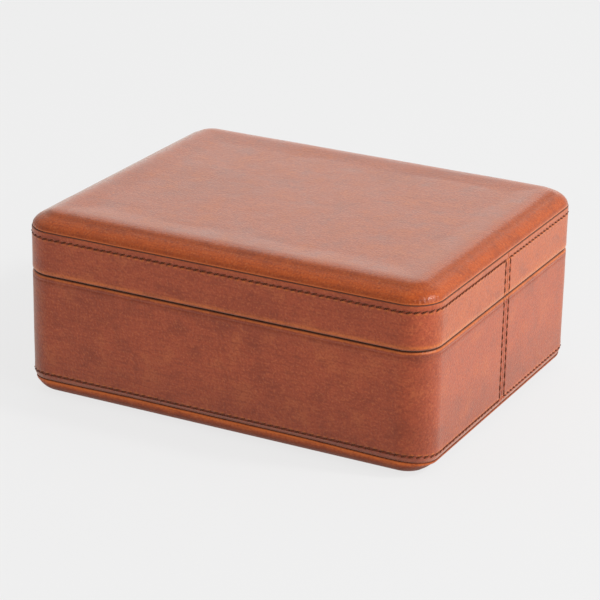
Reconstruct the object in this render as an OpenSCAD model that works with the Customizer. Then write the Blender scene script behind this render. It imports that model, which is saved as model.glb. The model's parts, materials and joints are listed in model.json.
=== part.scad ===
// Stationery box: a wooden carcass covered in stitched leather, with a stop-hinged lid.
// The origin is the centre of the face that the box rests on. The front looks along -Y, +Z is up.
// Outlines of leather and wood are drawn as [inset, height] points, where the inset is
// measured inwards from the outer face of the side leather.

/* [Overall size] */
// Width across the front, over the leather
box_w = 260; // [180:1:400]
// Depth from front to back, over the leather
box_d = 210; // [150:1:320]
// Height of the gap between the base and the lid
base_h = 75; // [50:0.5:140]
// Height of the lid's upright side, from the gap to the seam
lid_side_h = 26.5; // [22:0.5:60]
// Rise of the formed top above the seam
crown_h = 8.8; // [7:0.1:12]
// Radius of the upright corners
corner_r = 19; // [17:0.5:30]

/* [Leather] */
// Thickness of the side, top and bottom leather
leather_t = 2; // [1.4:0.1:2.6]
// Thickness of the skived flanges and turned-in edges
flange_t = 1.2; // [0.8:0.1:1.4]
// Width over which the formed top curves down
crown_run = 18; // [10:0.5:24]
// How far the formed top stands back from the side leather
crown_set = 0.5; // [0.2:0.1:1]
// Height of the formed bottom's rolled edge
foot_h = 9.8; // [7:0.1:14]
// Width over which the formed bottom curves under
foot_run = 13.5; // [8:0.5:15]
// How far the rolled edge stands back from the side leather
foot_set = 1; // [0.5:0.1:1.4]
// How far the lower edge of the side leather is drawn in by its stitches
hem_draw = 1.3; // [0.4:0.1:1.3]
// Distance from a seam to its row of stitches, on the lid
lid_margin = 3.7; // [3:0.1:6]
// Distance from a seam to its row of stitches, on the base
base_margin = 4.2; // [3:0.1:6]
// Distance from the upright seam to each of its two rows of stitches
end_margin = 3.1; // [2:0.1:6]
// Width of the groove that a row of stitches lies in
groove_w = 1.4; // [0.8:0.1:2]
// Depth of the groove that a row of stitches lies in
groove_d = 0.4; // [0.2:0.1:0.6]
// Width of the crease pressed in below the base's rim
crease_w = 1.2; // [0.6:0.1:1.6]
// Depth of the crease pressed in below the base's rim
crease_d = 0.2; // [0.1:0.05:0.4]
// Distance from the base's rim to the crease
crease_drop = 3; // [3:0.1:6]
// Width of the flanges behind the side leather
flange_w = 6; // [5:0.5:8]
// Height of the side leather that is turned in over the rim
turn_in_h = 8; // [5:0.5:10]
// Width of the bevel on the ends of the two wraps, where they meet
butt_w = 0.6; // [0.2:0.1:1.2]
// Depth of the bevel on the ends of the two wraps
butt_d = 0.4; // [0.2:0.1:0.8]

/* [Carcass and lining] */
// Thickness of the wooden walls
wall_t = 8; // [7:0.5:10]
// Thickness of the bottom board under the lining
bottom_board_t = 9.6; // [9:0.1:14]
// Thickness of the wall lining panels
lining_t = 2.4; // [1.8:0.1:4]
// Bare turned-in leather above the lining
lining_drop = 3; // [1:0.5:4]
// Thickness of the padded floor and lid panels
pad_t = 3; // [2:0.5:5]
// Width over which the padded panels fall off at their edges
pad_run = 7; // [4:0.5:10]

/* [Hinges] */
// Length of each hinge
hinge_len = 38; // [30:1:50]
// Distance from the end of the box to the middle of a hinge
hinge_inset = 48; // [42:1:70]
// Distance from the back leather to the pin's centre
hinge_out = 1.2; // [0.8:0.1:2]
// Outer radius of the knuckles
knuckle_r = 2.6; // [2.2:0.1:3]
// Radius of the hinge pin
pin_r = 1; // [0.8:0.1:1.3]
// Thickness of a hinge leaf
leaf_t = 1.6; // [1.6:0.1:2.2]
// Radius of a hinge leaf's corners
leaf_r = 1.5; // [0.5:0.1:3]
// Distance from a hinge leaf's edge to the inside of the wall
leaf_margin = 0.5; // [0.5:0.1:1.5]
// Angle at which the lid stops
open_deg = 95; // [90:1:105]
// Radius to the outside of the stop heels
heel_r = 4.4; // [4:0.1:4.8]
// Length of the hinge screws
screw_len = 9; // [6:0.5:12]
// Radius of the hinge screws' shanks
screw_r = 1; // [0.8:0.05:1.2]

/* [Clearances] */
// Gap between the closed rims, and between the closed hinge leaves
rim_gap = 0.2; // [0.1:0.1:0.6]
// Gap between the lower edge of the side leather and the formed bottom
hem_gap = 0.1; // [0.05:0.05:0.4]
// Gap for glue between parts that are fixed together
glue_gap = 0.05; // [0.02:0.01:0.1]
// Gap round a padded panel
pad_gap = 0.3; // [0.3:0.1:1]
// Radial clearance of the hinge pin
pin_clear = 0.05; // [0.02:0.01:0.1]
// Gap between neighbouring knuckles, and round them
knuckle_gap = 0.25; // [0.2:0.05:0.4]
// Angle left between the stop heels when the lid is fully open
stop_clear_deg = 1; // [0.5:0.5:2]

/* [Hidden] */
$fn = 64;

side_leather = "sienna";
formed_leather = "chocolate";
wood = "burlywood";
suede = "saddlebrown";
brass = "goldenrod";

arc_steps = 12;
cut_over = 1;

// Levels, from the ground up
base_floor_z = leather_t + bottom_board_t;
hem_z = foot_h + hem_gap;
base_stitch_z = foot_h + base_margin;
base_flange_z = foot_h + flange_w;
base_rim_z = base_h - rim_gap / 2;
lid_rim_z = base_h + rim_gap / 2;
seam_z = base_h + lid_side_h;
lid_stitch_z = seam_z - lid_margin;
lid_flange_z = seam_z - flange_w;
lid_board_z = seam_z - leather_t;
box_h = seam_z + crown_h;

// Insets of the layers of a wall
wood_in = leather_t + glue_gap;
inside_in = leather_t + wall_t;
rebate_in = leather_t + flange_t + glue_gap;
inside_w = box_w - 2 * inside_in;
inside_d = box_d - 2 * inside_in;
long_panel_l = inside_w - 2 * (flange_t + glue_gap);
end_panel_l = inside_d - 2 * (lining_t + glue_gap);
crown_end = crown_set + min(crown_run, corner_r - crown_set);
foot_end = foot_set + min(foot_run, corner_r - foot_set);
rim_r = leather_t;
edge_r = 0.5;

// Hinge layout
hinge_x = box_w / 2 - hinge_inset;
hinge_y = box_d / 2 + hinge_out;
leaf_reach = hinge_out + leather_t + wall_t - leaf_margin;
screw_y = hinge_out + leather_t + wall_t / 2;
knuckles = 5;
knuckle_w = (hinge_len - (knuckles - 1) * knuckle_gap) / knuckles;
base_knuckles = [0, 2, 4];
lid_knuckles = [1, 3];
heel_deg = (open_deg + stop_clear_deg) / 2;
heel_span_deg = 50;
screw_head_r = 2 * screw_r;
screw_head_h = screw_r;
screw_slot_w = 0.5;
screw_pitch = hinge_len / 3;
mortise_gap = 0.2;

// Points along part of an ellipse, in [inset, height]
function arc_points(centre, radii, from_deg, to_deg) = [
    for (i = [0 : arc_steps])
        let (a = from_deg + (to_deg - from_deg) * i / arc_steps)
        [centre[0] + radii[0] * cos(a), centre[1] + radii[1] * sin(a)]
];

// Groove of width w and depth d in the outer face at height z, from below upwards
function groove_points(z, w, d) = [[0, z - w / 2], [d, z - w / 4], [d, z + w / 4], [0, z + w / 2]];

// Sweeps an [inset, height] outline round the front half of a w by d plan with corners of radius r
module half_sweep(outline, w, d, r) {
    translate([r - w / 2, -d / 2, 0]) rotate([90, 0, 90])
        linear_extrude(w - 2 * r) polygon(outline);
    for (m = [0, 1]) mirror([m, 0, 0]) {
        translate([-w / 2, 0, 0]) rotate([90, 0, 0])
            linear_extrude(d / 2 - r) polygon(outline);
        translate([r - w / 2, r - d / 2, 0]) rotate([0, 0, 180])
            rotate_extrude(angle = 90) polygon([for (p = outline) [r - p[0], p[1]]]);
    }
}

// Sweeps the same outline all the way round
module full_sweep(outline, w, d, r) {
    for (m = [0, 1]) mirror([0, m, 0]) half_sweep(outline, w, d, r);
}

// Plate with rounded corners, inside a full sweep of the same plan
module core_plate(z, h, w, d, r) {
    translate([r - w / 2, r - d / 2, z]) cube([w - 2 * r, d - 2 * r, h]);
}

// Plan of the box, inset from the outer face of the side leather
module box_plan(inset) {
    square([box_w - 2 * corner_r, box_d - 2 * inset], center = true);
    square([box_w - 2 * inset, box_d - 2 * corner_r], center = true);
    for (x = [-1, 1], y = [-1, 1])
        translate([x * (box_w / 2 - corner_r), y * (box_d / 2 - corner_r)])
            circle(r = corner_r - inset);
}

// Plan of one mitred wall: turn 0 is the front, 1 the right end, 2 the back, 3 the left end
module wall_plan(turn) {
    across = (turn % 2 == 0) ? [box_w, box_d] : [box_d, box_w];
    reach = [across[0] / 2, across[1] / 2];
    intersection() {
        difference() {
            box_plan(wood_in);
            square([inside_w, inside_d], center = true);
        }
        rotate(90 * turn) polygon([
            [-reach[0], -reach[1]], [reach[0], -reach[1]],
            [reach[0] - inside_in, inside_in - reach[1]],
            [inside_in - reach[0], inside_in - reach[1]]
        ]);
    }
}

// Rebate that lets a flange in behind the side leather
module flange_rebate(z0, z1) {
    full_sweep([
        [wood_in - cut_over, z0], [rebate_in, z0], [rebate_in, z1], [wood_in - cut_over, z1]
    ], box_w, box_d, corner_r);
}

// One mitred wall of the base, rebated for the bottom leather's flange
module base_wall(turn) {
    color(wood) difference() {
        translate([0, 0, base_floor_z])
            linear_extrude(base_rim_z - flange_t - base_floor_z) wall_plan(turn);
        flange_rebate(base_floor_z - cut_over, base_flange_z + glue_gap);
    }
}

// One mitred wall of the lid, rebated for the top leather's flange
module lid_wall(turn) {
    color(wood) difference() {
        translate([0, 0, lid_rim_z + flange_t])
            linear_extrude(lid_board_z - lid_rim_z - flange_t) wall_plan(turn);
        flange_rebate(lid_flange_z - glue_gap, lid_board_z + cut_over);
    }
}

// Half of the side leather's turned-in edge: over the rim, then down the inside of the wall
module turned_edge(rim_z, down) {
    top_z = down ? rim_z - flange_t : rim_z;
    fold_z = down ? rim_z - turn_in_h : rim_z;
    translate([0, 0, top_z]) linear_extrude(flange_t) half_frame(inside_in) box_plan(leather_t);
    translate([0, 0, fold_z]) linear_extrude(turn_in_h)
        half_frame(inside_in + flange_t) square([inside_w, inside_d], center = true);
}

// Front half of a plan, with the middle cut out of it
module half_frame(hole_in) {
    difference() {
        children();
        square([box_w - 2 * hole_in, box_d - 2 * hole_in], center = true);
        translate([-box_w / 2, 0]) square([box_w, box_d / 2]);
    }
}

// Grooves of the two rows of stitches beside the upright seams, on the front half
module end_grooves(z0, z1) {
    for (x = [-1, 1])
        translate([x * box_w / 2 - groove_d, -end_margin - groove_w / 2, z0])
            cube([2 * groove_d, groove_w, z1 - z0]);
}

// Bevels on the outer edges of a wrap's two ends, from height z0 to z1, on the front half
module end_bevels(z0, z1) {
    for (x = [-1, 1]) translate([x * box_w / 2, 0, z0]) linear_extrude(z1 - z0)
        polygon([[x * butt_d, -2 * butt_w], [-2 * x * butt_d, butt_w], [x * butt_d, butt_w]]);
}

// Front half of the base's side leather
module base_half_wrap() {
    difference() {
        union() {
            half_sweep(concat(
                [[leather_t, hem_z], [hem_draw, hem_z]],
                groove_points(base_stitch_z, groove_w, groove_d),
                groove_points(base_rim_z - crease_drop, crease_w, crease_d),
                arc_points([rim_r, base_rim_z - rim_r], [rim_r, rim_r], 180, 90)
            ), box_w, box_d, corner_r);
            turned_edge(base_rim_z, true);
        }
        end_grooves(base_stitch_z, base_h);
        end_bevels(0, base_h);
    }
}

// Front half of the lid's side leather
module lid_half_wrap() {
    difference() {
        union() {
            half_sweep(concat(
                arc_points([rim_r, lid_rim_z + rim_r], [rim_r, rim_r], 270, 180),
                groove_points(lid_stitch_z, groove_w, groove_d),
                arc_points([edge_r, seam_z - edge_r], [edge_r, edge_r], 180, 90),
                [[leather_t, seam_z]]
            ), box_w, box_d, corner_r);
            turned_edge(lid_rim_z, false);
        }
        end_grooves(base_h, lid_stitch_z);
        end_bevels(base_h, box_h);
    }
}

module bottom_leather() {
    color(formed_leather) union() {
        full_sweep(concat(
            [[corner_r, 0]],
            arc_points([foot_end, foot_h], [foot_end - foot_set, foot_h], 270, 180),
            [[leather_t + glue_gap, foot_h], [leather_t + glue_gap, base_flange_z]],
            [[leather_t + flange_t, base_flange_z]],
            arc_points(
                [foot_end, foot_h], [foot_end - leather_t - flange_t, foot_h - leather_t], 180, 270
            ),
            [[corner_r, leather_t]]
        ), box_w, box_d, corner_r);
        core_plate(0, leather_t, box_w, box_d, corner_r);
    }
}

module bottom_board() {
    color(wood) union() {
        full_sweep(concat(
            [[corner_r, leather_t + glue_gap]],
            arc_points(
                [foot_end, foot_h], [foot_end - rebate_in, foot_h - leather_t - glue_gap], 270, 180
            ),
            [[rebate_in, base_floor_z], [corner_r, base_floor_z]]
        ), box_w, box_d, corner_r);
        core_plate(leather_t + glue_gap, bottom_board_t - glue_gap, box_w, box_d, corner_r);
    }
}

module base_front_board() {
    base_wall(0);
}

module base_right_board() {
    base_wall(1);
}

module base_back_board() {
    color(wood) difference() {
        base_wall(2);
        hinge_seats();
    }
}

module base_left_board() {
    base_wall(3);
}

module base_front_wrap() {
    color(side_leather) base_half_wrap();
}

module base_rear_wrap() {
    color(side_leather) difference() {
        mirror([0, 1, 0]) base_half_wrap();
        hinge_seats();
    }
}

// Lining panel of length l for one wall, standing on height z and rebated over the turned-in
// leather, which it covers up to height top_z
module lining_panel(turn, l, z, top_z, fold_z) {
    reach = (turn % 2 == 0) ? inside_d / 2 : inside_w / 2;
    soft_r = lining_t / 4;
    color(suede) rotate(90 * turn) translate([-l / 2, -reach, 0]) rotate([90, 0, 90])
        linear_extrude(l) polygon(concat(
            [[glue_gap, z], [lining_t, z]],
            arc_points([lining_t - soft_r, top_z - soft_r], [soft_r, soft_r], 0, 90),
            [[flange_t + glue_gap, top_z]],
            [[flange_t + glue_gap, fold_z - glue_gap], [glue_gap, fold_z - glue_gap]]
        ));
}

// Lining panel of the base
module base_panel(turn, l) {
    lining_panel(turn, l, base_floor_z, base_rim_z - lining_drop, base_rim_z - turn_in_h);
}

// Lining panel of the lid, which is the same panel upside down
module lid_panel(turn, l) {
    translate([0, 0, lid_rim_z]) mirror([0, 0, 1])
        lining_panel(turn, l, lid_rim_z - lid_board_z, -lining_drop, -turn_in_h);
}

module base_front_lining() {
    base_panel(0, long_panel_l);
}

module base_back_lining() {
    base_panel(2, long_panel_l);
}

module base_left_lining() {
    base_panel(3, end_panel_l);
}

module base_right_lining() {
    base_panel(1, end_panel_l);
}

// Padded panel, flat at height 0 and crowned above it
module padded_panel() {
    w = inside_w - 2 * lining_t - 2 * pad_gap;
    d = inside_d - 2 * lining_t - 2 * pad_gap;
    lip = pad_t / 3;
    full_sweep(concat(
        [[pad_run, 0], [0, 0]],
        arc_points([pad_run, lip], [pad_run, pad_t - lip], 180, 90)
    ), w, d, pad_run);
    core_plate(0, pad_t, w, d, pad_run);
}

module base_floor_pad() {
    color(suede) translate([0, 0, base_floor_z + glue_gap]) padded_panel();
}

// Part of a disc or ring about the pin, between two angles measured from +Y towards +Z
module pin_sector(inner_r, outer_r, from_deg, to_deg) {
    far = 2 * outer_r;
    mid_deg = (from_deg + to_deg) / 2;
    intersection() {
        difference() {
            circle(r = outer_r);
            circle(r = inner_r);
        }
        polygon([
            [0, 0], far * [cos(from_deg), sin(from_deg)],
            far * [cos(mid_deg), sin(mid_deg)], far * [cos(to_deg), sin(to_deg)]
        ]);
    }
}

// Runs a shape drawn across the pin along it, from x0 over a length l
module along_pin(x0, l) {
    translate([x0, 0, 0]) rotate([90, 0, 90]) linear_extrude(l) children();
}

function knuckle_x(i) = i * (knuckle_w + knuckle_gap) - hinge_len / 2;

// Plan of a hinge leaf, with its back edge under the pin and its front corners rounded
module leaf_plan() {
    half_l = hinge_len / 2;
    polygon(concat(
        [[half_l, 0], [-half_l, 0]],
        arc_points([leaf_r - half_l, leaf_r - leaf_reach], [leaf_r, leaf_r], 180, 270),
        arc_points([half_l - leaf_r, leaf_r - leaf_reach], [leaf_r, leaf_r], 270, 360)
    ));
}

// Hinge leaf below the pin, with its own knuckles and room for the other leaf's.
// Behind the pin it has a stop heel that the other leaf's heel meets when the lid is open.
module hinge_leaf(own, other) {
    heel_in = knuckle_r + knuckle_gap;
    heel_x = knuckle_x(min(own));
    heel_l = knuckle_x(max(own)) + knuckle_w - heel_x;
    difference() {
        union() {
            difference() {
                translate([0, 0, -rim_gap / 2 - leaf_t]) linear_extrude(leaf_t) leaf_plan();
                for (i = other)
                    along_pin(knuckle_x(i) - knuckle_gap, knuckle_w + 2 * knuckle_gap)
                        union() {
                            circle(r = heel_in);
                            translate([0, -heel_in]) square([heel_in, 2 * heel_in]);
                        }
            }
            for (i = own) along_pin(knuckle_x(i), knuckle_w) {
                circle(r = knuckle_r);
                pin_sector(pin_r, heel_r, -heel_deg - heel_span_deg, -heel_deg);
            }
            along_pin(heel_x, heel_l)
                pin_sector(heel_in, heel_r, -heel_deg - heel_span_deg, -heel_deg);
        }
        along_pin(-hinge_len / 2 - cut_over, hinge_len + 2 * cut_over)
            circle(r = pin_r + pin_clear);
        for (i = [-1 : 1]) translate([i * screw_pitch, -screw_y, -rim_gap / 2])
            screw_hole();
    }
}

// Countersunk hole through a leaf, from its face down
module screw_hole() {
    translate([0, 0, -leaf_t - cut_over])
        cylinder(r = screw_r + glue_gap, h = leaf_t + 2 * cut_over);
    translate([0, 0, -screw_head_h])
        cylinder(r1 = screw_r + glue_gap, r2 = screw_head_r + glue_gap, h = screw_head_h);
}

// Slotted countersunk screw, with its head's face at height 0
module wood_screw() {
    tip_h = 2 * screw_r;
    difference() {
        union() {
            translate([0, 0, -screw_head_h])
                cylinder(r1 = screw_r, r2 = screw_head_r, h = screw_head_h);
            translate([0, 0, tip_h - screw_len])
                cylinder(r = screw_r, h = screw_len - tip_h - screw_head_h);
            translate([0, 0, -screw_len]) cylinder(r1 = screw_r / 5, r2 = screw_r, h = tip_h);
        }
        translate([-screw_head_r, -screw_slot_w / 2, -screw_head_h / 2])
            cube([2 * screw_head_r, screw_slot_w, screw_head_h]);
    }
}

// Places a hinge part on the pin's centre: side -1 is the left hinge, 1 the right
module at_hinge(side) {
    translate([side * hinge_x, hinge_y, base_h]) children();
}

// Everything that is cut out of the back of the base for both hinges
module hinge_seats() {
    seat_r = knuckle_r + knuckle_gap;
    seat_l = hinge_len + 2 * mortise_gap;
    for (side = [-1, 1]) at_hinge(side) {
        translate([-seat_l / 2, -leaf_reach - mortise_gap, -rim_gap / 2 - leaf_t])
            cube([seat_l, leaf_reach + mortise_gap + hinge_out, leaf_t + cut_over]);
        along_pin(-seat_l / 2, seat_l) circle(r = seat_r);
        for (i = [-1 : 1])
            translate([i * screw_pitch, -screw_y, -rim_gap / 2 - screw_len - glue_gap])
                cylinder(r = screw_r + glue_gap, h = screw_len);
    }
}

// Turns what is drawn for the base into the lid's, upside down about the pin
module for_lid() {
    translate([0, 0, base_h]) mirror([0, 0, 1]) translate([0, 0, -base_h]) children();
}

// The six screws of the leaves below the pin
module leaf_screws() {
    for (side = [-1, 1], i = [-1 : 1])
        at_hinge(side) translate([i * screw_pitch, -screw_y, -rim_gap / 2]) wood_screw();
}

module base_hinge_leaf_left() {
    color(brass) at_hinge(-1) hinge_leaf(base_knuckles, lid_knuckles);
}

module base_hinge_leaf_right() {
    color(brass) at_hinge(1) hinge_leaf(base_knuckles, lid_knuckles);
}

module base_hinge_screws() {
    color(brass) leaf_screws();
}

// Hinge pin with chamfered ends, flush with the outer knuckles
module hinge_pin() {
    chamfer = pin_r / 4;
    rotate([0, 90, 0]) {
        translate([0, 0, -hinge_len / 2]) cylinder(r1 = pin_r - chamfer, r2 = pin_r, h = chamfer);
        translate([0, 0, chamfer - hinge_len / 2]) cylinder(r = pin_r, h = hinge_len - 2 * chamfer);
        translate([0, 0, hinge_len / 2 - chamfer])
            cylinder(r1 = pin_r, r2 = pin_r - chamfer, h = chamfer);
    }
}

module hinge_pin_left() {
    color(brass) at_hinge(-1) hinge_pin();
}

module hinge_pin_right() {
    color(brass) at_hinge(1) hinge_pin();
}

module lid_top_leather() {
    color(formed_leather) union() {
        full_sweep(concat(
            [[corner_r, box_h - leather_t]],
            arc_points(
                [crown_end, seam_z],
                [crown_end - leather_t - flange_t, crown_h - leather_t], 90, 180
            ),
            [[leather_t + flange_t, lid_flange_z], [leather_t + glue_gap, lid_flange_z]],
            [[leather_t + glue_gap, seam_z + glue_gap]],
            arc_points(
                [crown_end, seam_z + glue_gap],
                [crown_end - crown_set, crown_h - glue_gap], 180, 90
            ),
            [[corner_r, box_h]]
        ), box_w, box_d, corner_r);
        core_plate(box_h - leather_t, leather_t, box_w, box_d, corner_r);
    }
}

module lid_top_board() {
    board_h = box_h - leather_t - glue_gap - lid_board_z;
    color(wood) union() {
        full_sweep(concat(
            [[corner_r, lid_board_z], [rebate_in, lid_board_z]],
            arc_points(
                [crown_end, seam_z],
                [crown_end - rebate_in, crown_h - leather_t - glue_gap], 180, 90
            ),
            [[corner_r, lid_board_z + board_h]]
        ), box_w, box_d, corner_r);
        core_plate(lid_board_z, board_h, box_w, box_d, corner_r);
    }
}

module lid_front_rail() {
    lid_wall(0);
}

module lid_right_rail() {
    lid_wall(1);
}

module lid_back_rail() {
    color(wood) difference() {
        lid_wall(2);
        for_lid() hinge_seats();
    }
}

module lid_left_rail() {
    lid_wall(3);
}

module lid_front_wrap() {
    color(side_leather) lid_half_wrap();
}

module lid_rear_wrap() {
    color(side_leather) difference() {
        mirror([0, 1, 0]) lid_half_wrap();
        for_lid() hinge_seats();
    }
}

module lid_front_lining() {
    lid_panel(0, long_panel_l);
}

module lid_back_lining() {
    lid_panel(2, long_panel_l);
}

module lid_left_lining() {
    lid_panel(3, end_panel_l);
}

module lid_right_lining() {
    lid_panel(1, end_panel_l);
}

module lid_pad() {
    color(suede) translate([0, 0, lid_board_z - glue_gap]) mirror([0, 0, 1]) padded_panel();
}

module lid_hinge_leaf_left() {
    color(brass) for_lid() at_hinge(-1) hinge_leaf(lid_knuckles, base_knuckles);
}

module lid_hinge_leaf_right() {
    color(brass) for_lid() at_hinge(1) hinge_leaf(lid_knuckles, base_knuckles);
}

module lid_hinge_screws() {
    color(brass) for_lid() leaf_screws();
}

bottom_leather();
bottom_board();
base_front_board();
base_back_board();
base_left_board();
base_right_board();
base_front_wrap();
base_rear_wrap();
base_front_lining();
base_back_lining();
base_left_lining();
base_right_lining();
base_floor_pad();
base_hinge_leaf_left();
base_hinge_leaf_right();
base_hinge_screws();
hinge_pin_left();
hinge_pin_right();
lid_top_leather();
lid_top_board();
lid_front_rail();
lid_back_rail();
lid_left_rail();
lid_right_rail();
lid_front_wrap();
lid_rear_wrap();
lid_front_lining();
lid_back_lining();
lid_left_lining();
lid_right_lining();
lid_pad();
lid_hinge_leaf_left();
lid_hinge_leaf_right();
lid_hinge_screws();
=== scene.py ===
"""Stationery box in waxed chestnut leather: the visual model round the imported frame.

Sizes are in millimetres and become metres where a mesh is made. The plan of the box is
read as an inset, measured inwards from the outer face of the side leather, and a run,
measured along that face from the middle of the left end to the middle of the right end.
The rear half has the same runs as the front half.
"""

from __future__ import annotations

import json
import logging
import math
from collections.abc import Callable, Iterator, Sequence
from contextlib import contextmanager
from dataclasses import dataclass, field
from enum import Enum
from typing import Any

import bmesh
import bpy
from mathutils import Matrix, Vector, noise

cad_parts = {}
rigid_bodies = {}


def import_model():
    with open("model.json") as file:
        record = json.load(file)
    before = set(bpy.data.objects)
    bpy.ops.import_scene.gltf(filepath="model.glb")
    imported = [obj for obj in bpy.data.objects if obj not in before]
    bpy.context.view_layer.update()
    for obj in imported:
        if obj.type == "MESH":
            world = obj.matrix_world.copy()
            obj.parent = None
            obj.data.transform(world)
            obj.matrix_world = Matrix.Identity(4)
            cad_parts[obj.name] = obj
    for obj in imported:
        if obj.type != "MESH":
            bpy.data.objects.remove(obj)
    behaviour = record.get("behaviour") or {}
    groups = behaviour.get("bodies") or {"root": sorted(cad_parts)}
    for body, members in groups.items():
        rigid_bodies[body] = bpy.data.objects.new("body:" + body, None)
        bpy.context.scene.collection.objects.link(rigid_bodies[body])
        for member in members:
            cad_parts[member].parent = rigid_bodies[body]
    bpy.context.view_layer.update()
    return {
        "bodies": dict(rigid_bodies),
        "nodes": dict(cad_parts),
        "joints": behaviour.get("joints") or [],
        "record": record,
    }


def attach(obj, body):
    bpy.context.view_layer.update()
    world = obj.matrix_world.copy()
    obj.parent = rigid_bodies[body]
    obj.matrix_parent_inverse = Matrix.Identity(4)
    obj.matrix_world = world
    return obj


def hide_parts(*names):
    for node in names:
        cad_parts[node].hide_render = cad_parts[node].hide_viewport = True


MM = 0.001

# Lengths in millimetres that count as nothing
TOUCH = 0.01
NEAR = 1e-4
TINY = 1e-6
MERGE = TOUCH * MM

# Angles in degrees from which an edge is shaded sharp
LEATHER_FOLD = 42
BOARD_FOLD = 45
SOFT_FOLD = 60

# Sockets of the Mix node that mixes two colours
MIX_FACTOR, MIX_A, MIX_B, MIX_OUT = 0, 6, 7, 2

Outline = list[tuple[float, float]]
Piece = bpy.types.Object
Material = bpy.types.Material
Tree = bpy.types.NodeTree
Socket = bpy.types.NodeSocket

log = logging.getLogger("stationery_box")


# Small tools


class Part(Enum):
    """What an edit-mode selection is made of."""

    VERT = "VERT"
    EDGE = "EDGE"
    FACE = "FACE"


class Half(Enum):
    """Which half wrap of side leather, by the direction it faces along Y."""

    FRONT = -1
    REAR = 1


def hex_to_linear(code: str) -> tuple[float, float, float, float]:
    """Turns an sRGB hex colour into Blender's linear RGBA.

    Args:
        code: Six hex digits, with or without a leading hash.

    Returns:
        Linear red, green, blue and an alpha of 1.
    """
    digits = code.lstrip("#")
    values = [int(digits[i : i + 2], 16) / 255 for i in (0, 2, 4)]
    linear = [v / 12.92 if v <= 0.04045 else ((v + 0.055) / 1.055) ** 2.4 for v in values]
    return linear[0], linear[1], linear[2], 1.0


def smooth(low: float, high: float, value: float) -> float:
    """Steps smoothly from 0 to 1.

    Args:
        low: Value at which the step starts, which may be the larger one.
        high: Value at which the step ends.
        value: Value that is looked up.

    Returns:
        The height of the step at the value.
    """
    t = min(1.0, max(0.0, (value - low) / (high - low)))
    return t * t * (3 - 2 * t)


def bell(value: float, width: float) -> float:
    """Returns a bell curve that is 1 at 0 and falls off over width."""
    return math.exp(-((value / width) ** 2))


def arc(
    centre: tuple[float, float],
    radii: tuple[float, float],
    degrees: tuple[float, float],
    steps: int,
) -> Outline:
    """Lists points along part of an ellipse.

    Args:
        centre: Inset and height of the ellipse's middle.
        radii: Its radii along the inset and along the height.
        degrees: First and last angle, with 180 at the outer face and 90 at the top.
        steps: Number of steps between the first and the last point.

    Returns:
        Points as (inset, height).
    """
    first, last = degrees
    angles = [math.radians(first + (last - first) * i / steps) for i in range(steps + 1)]
    return [
        (centre[0] + radii[0] * math.cos(a), centre[1] + radii[1] * math.sin(a))
        for a in angles
    ]


def add_node(
    tree: Tree,
    kind: str,
    settings: dict[str, Any] | None = None,
    inputs: dict[str | int, Any] | None = None,
) -> bpy.types.Node:
    """Adds a node with its settings and links.

    Args:
        tree: The node tree that it goes into.
        kind: Blender's name of the node type.
        settings: Properties of the node.
        inputs: For each input, the socket it is linked from or its value.

    Returns:
        The new node.
    """
    node = tree.nodes.new(kind)
    for name, value in (settings or {}).items():
        setattr(node, name, value)
    for key, value in (inputs or {}).items():
        if isinstance(value, Socket):
            tree.links.new(value, node.inputs[key])
        else:
            node.inputs[key].default_value = value
    return node


@contextmanager
def editing(piece: Piece) -> Iterator[None]:
    """Opens one piece in edit mode with nothing selected, and closes it after.

    Args:
        piece: The piece that is edited.

    Returns:
        A context in which the piece is open.
    """
    bpy.ops.object.select_all(action="DESELECT")
    bpy.context.view_layer.objects.active = piece
    piece.select_set(True)
    bpy.ops.object.mode_set(mode="EDIT")
    bpy.ops.mesh.select_all(action="DESELECT")
    yield
    bpy.ops.object.mode_set(mode="OBJECT")


def pick(piece: Piece, part: Part, test: Callable[[Any], bool]) -> int:
    """Selects the parts of the piece in edit mode that pass a test, and nothing else.

    Args:
        piece: The piece that is open in edit mode.
        part: Whether vertices, edges or faces are selected.
        test: Says whether a vertex, edge or face is selected.

    Returns:
        How many were selected.
    """
    bpy.ops.mesh.select_mode(type=part.value)
    bpy.ops.mesh.select_all(action="DESELECT")
    mesh = bmesh.from_edit_mesh(piece.data)
    parts = {Part.VERT: mesh.verts, Part.EDGE: mesh.edges, Part.FACE: mesh.faces}[part]
    found = [x for x in parts if test(x)]
    for x in found:
        x.select_set(True)
    mesh.select_flush_mode()
    bmesh.update_edit_mesh(piece.data)
    return len(found)


def new_from(
    add: Callable[..., Any],
    name: str,
    stretch: tuple[float, float, float] = (1.0, 1.0, 1.0),
    **how: Any,
) -> Piece:
    """Adds a primitive by its operator and puts its place and size into its mesh.

    Args:
        add: The operator that adds the primitive.
        name: The new piece's name.
        stretch: How far the primitive is stretched along each axis.
        how: The operator's own settings.

    Returns:
        The new piece.
    """
    bpy.ops.object.select_all(action="DESELECT")
    add(**how)
    piece = bpy.context.object
    piece.name = piece.data.name = name
    piece.scale = stretch
    put_in_place(piece)
    return piece


def extrude(part: Part, millimetres: Sequence[float]) -> None:
    """Extrudes the selected vertices, edges or faces.

    Args:
        part: Whether vertices, edges or faces are selected.
        millimetres: The step along X, Y and Z.
    """
    step = {"value": Vector(millimetres) * MM}
    if part is Part.VERT:
        bpy.ops.mesh.extrude_vertices_move(TRANSFORM_OT_translate=step)
    elif part is Part.EDGE:
        bpy.ops.mesh.extrude_edges_move(TRANSFORM_OT_translate=step)
    else:
        bpy.ops.mesh.extrude_region_move(TRANSFORM_OT_translate=step)


def close_up(piece: Piece) -> None:
    """Merges doubles and turns every face of a closed piece outwards.

    Args:
        piece: The closed piece.
    """
    with editing(piece):
        bpy.ops.mesh.select_all(action="SELECT")
        bpy.ops.mesh.remove_doubles(threshold=MERGE)
        bpy.ops.mesh.normals_make_consistent(inside=False)


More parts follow.
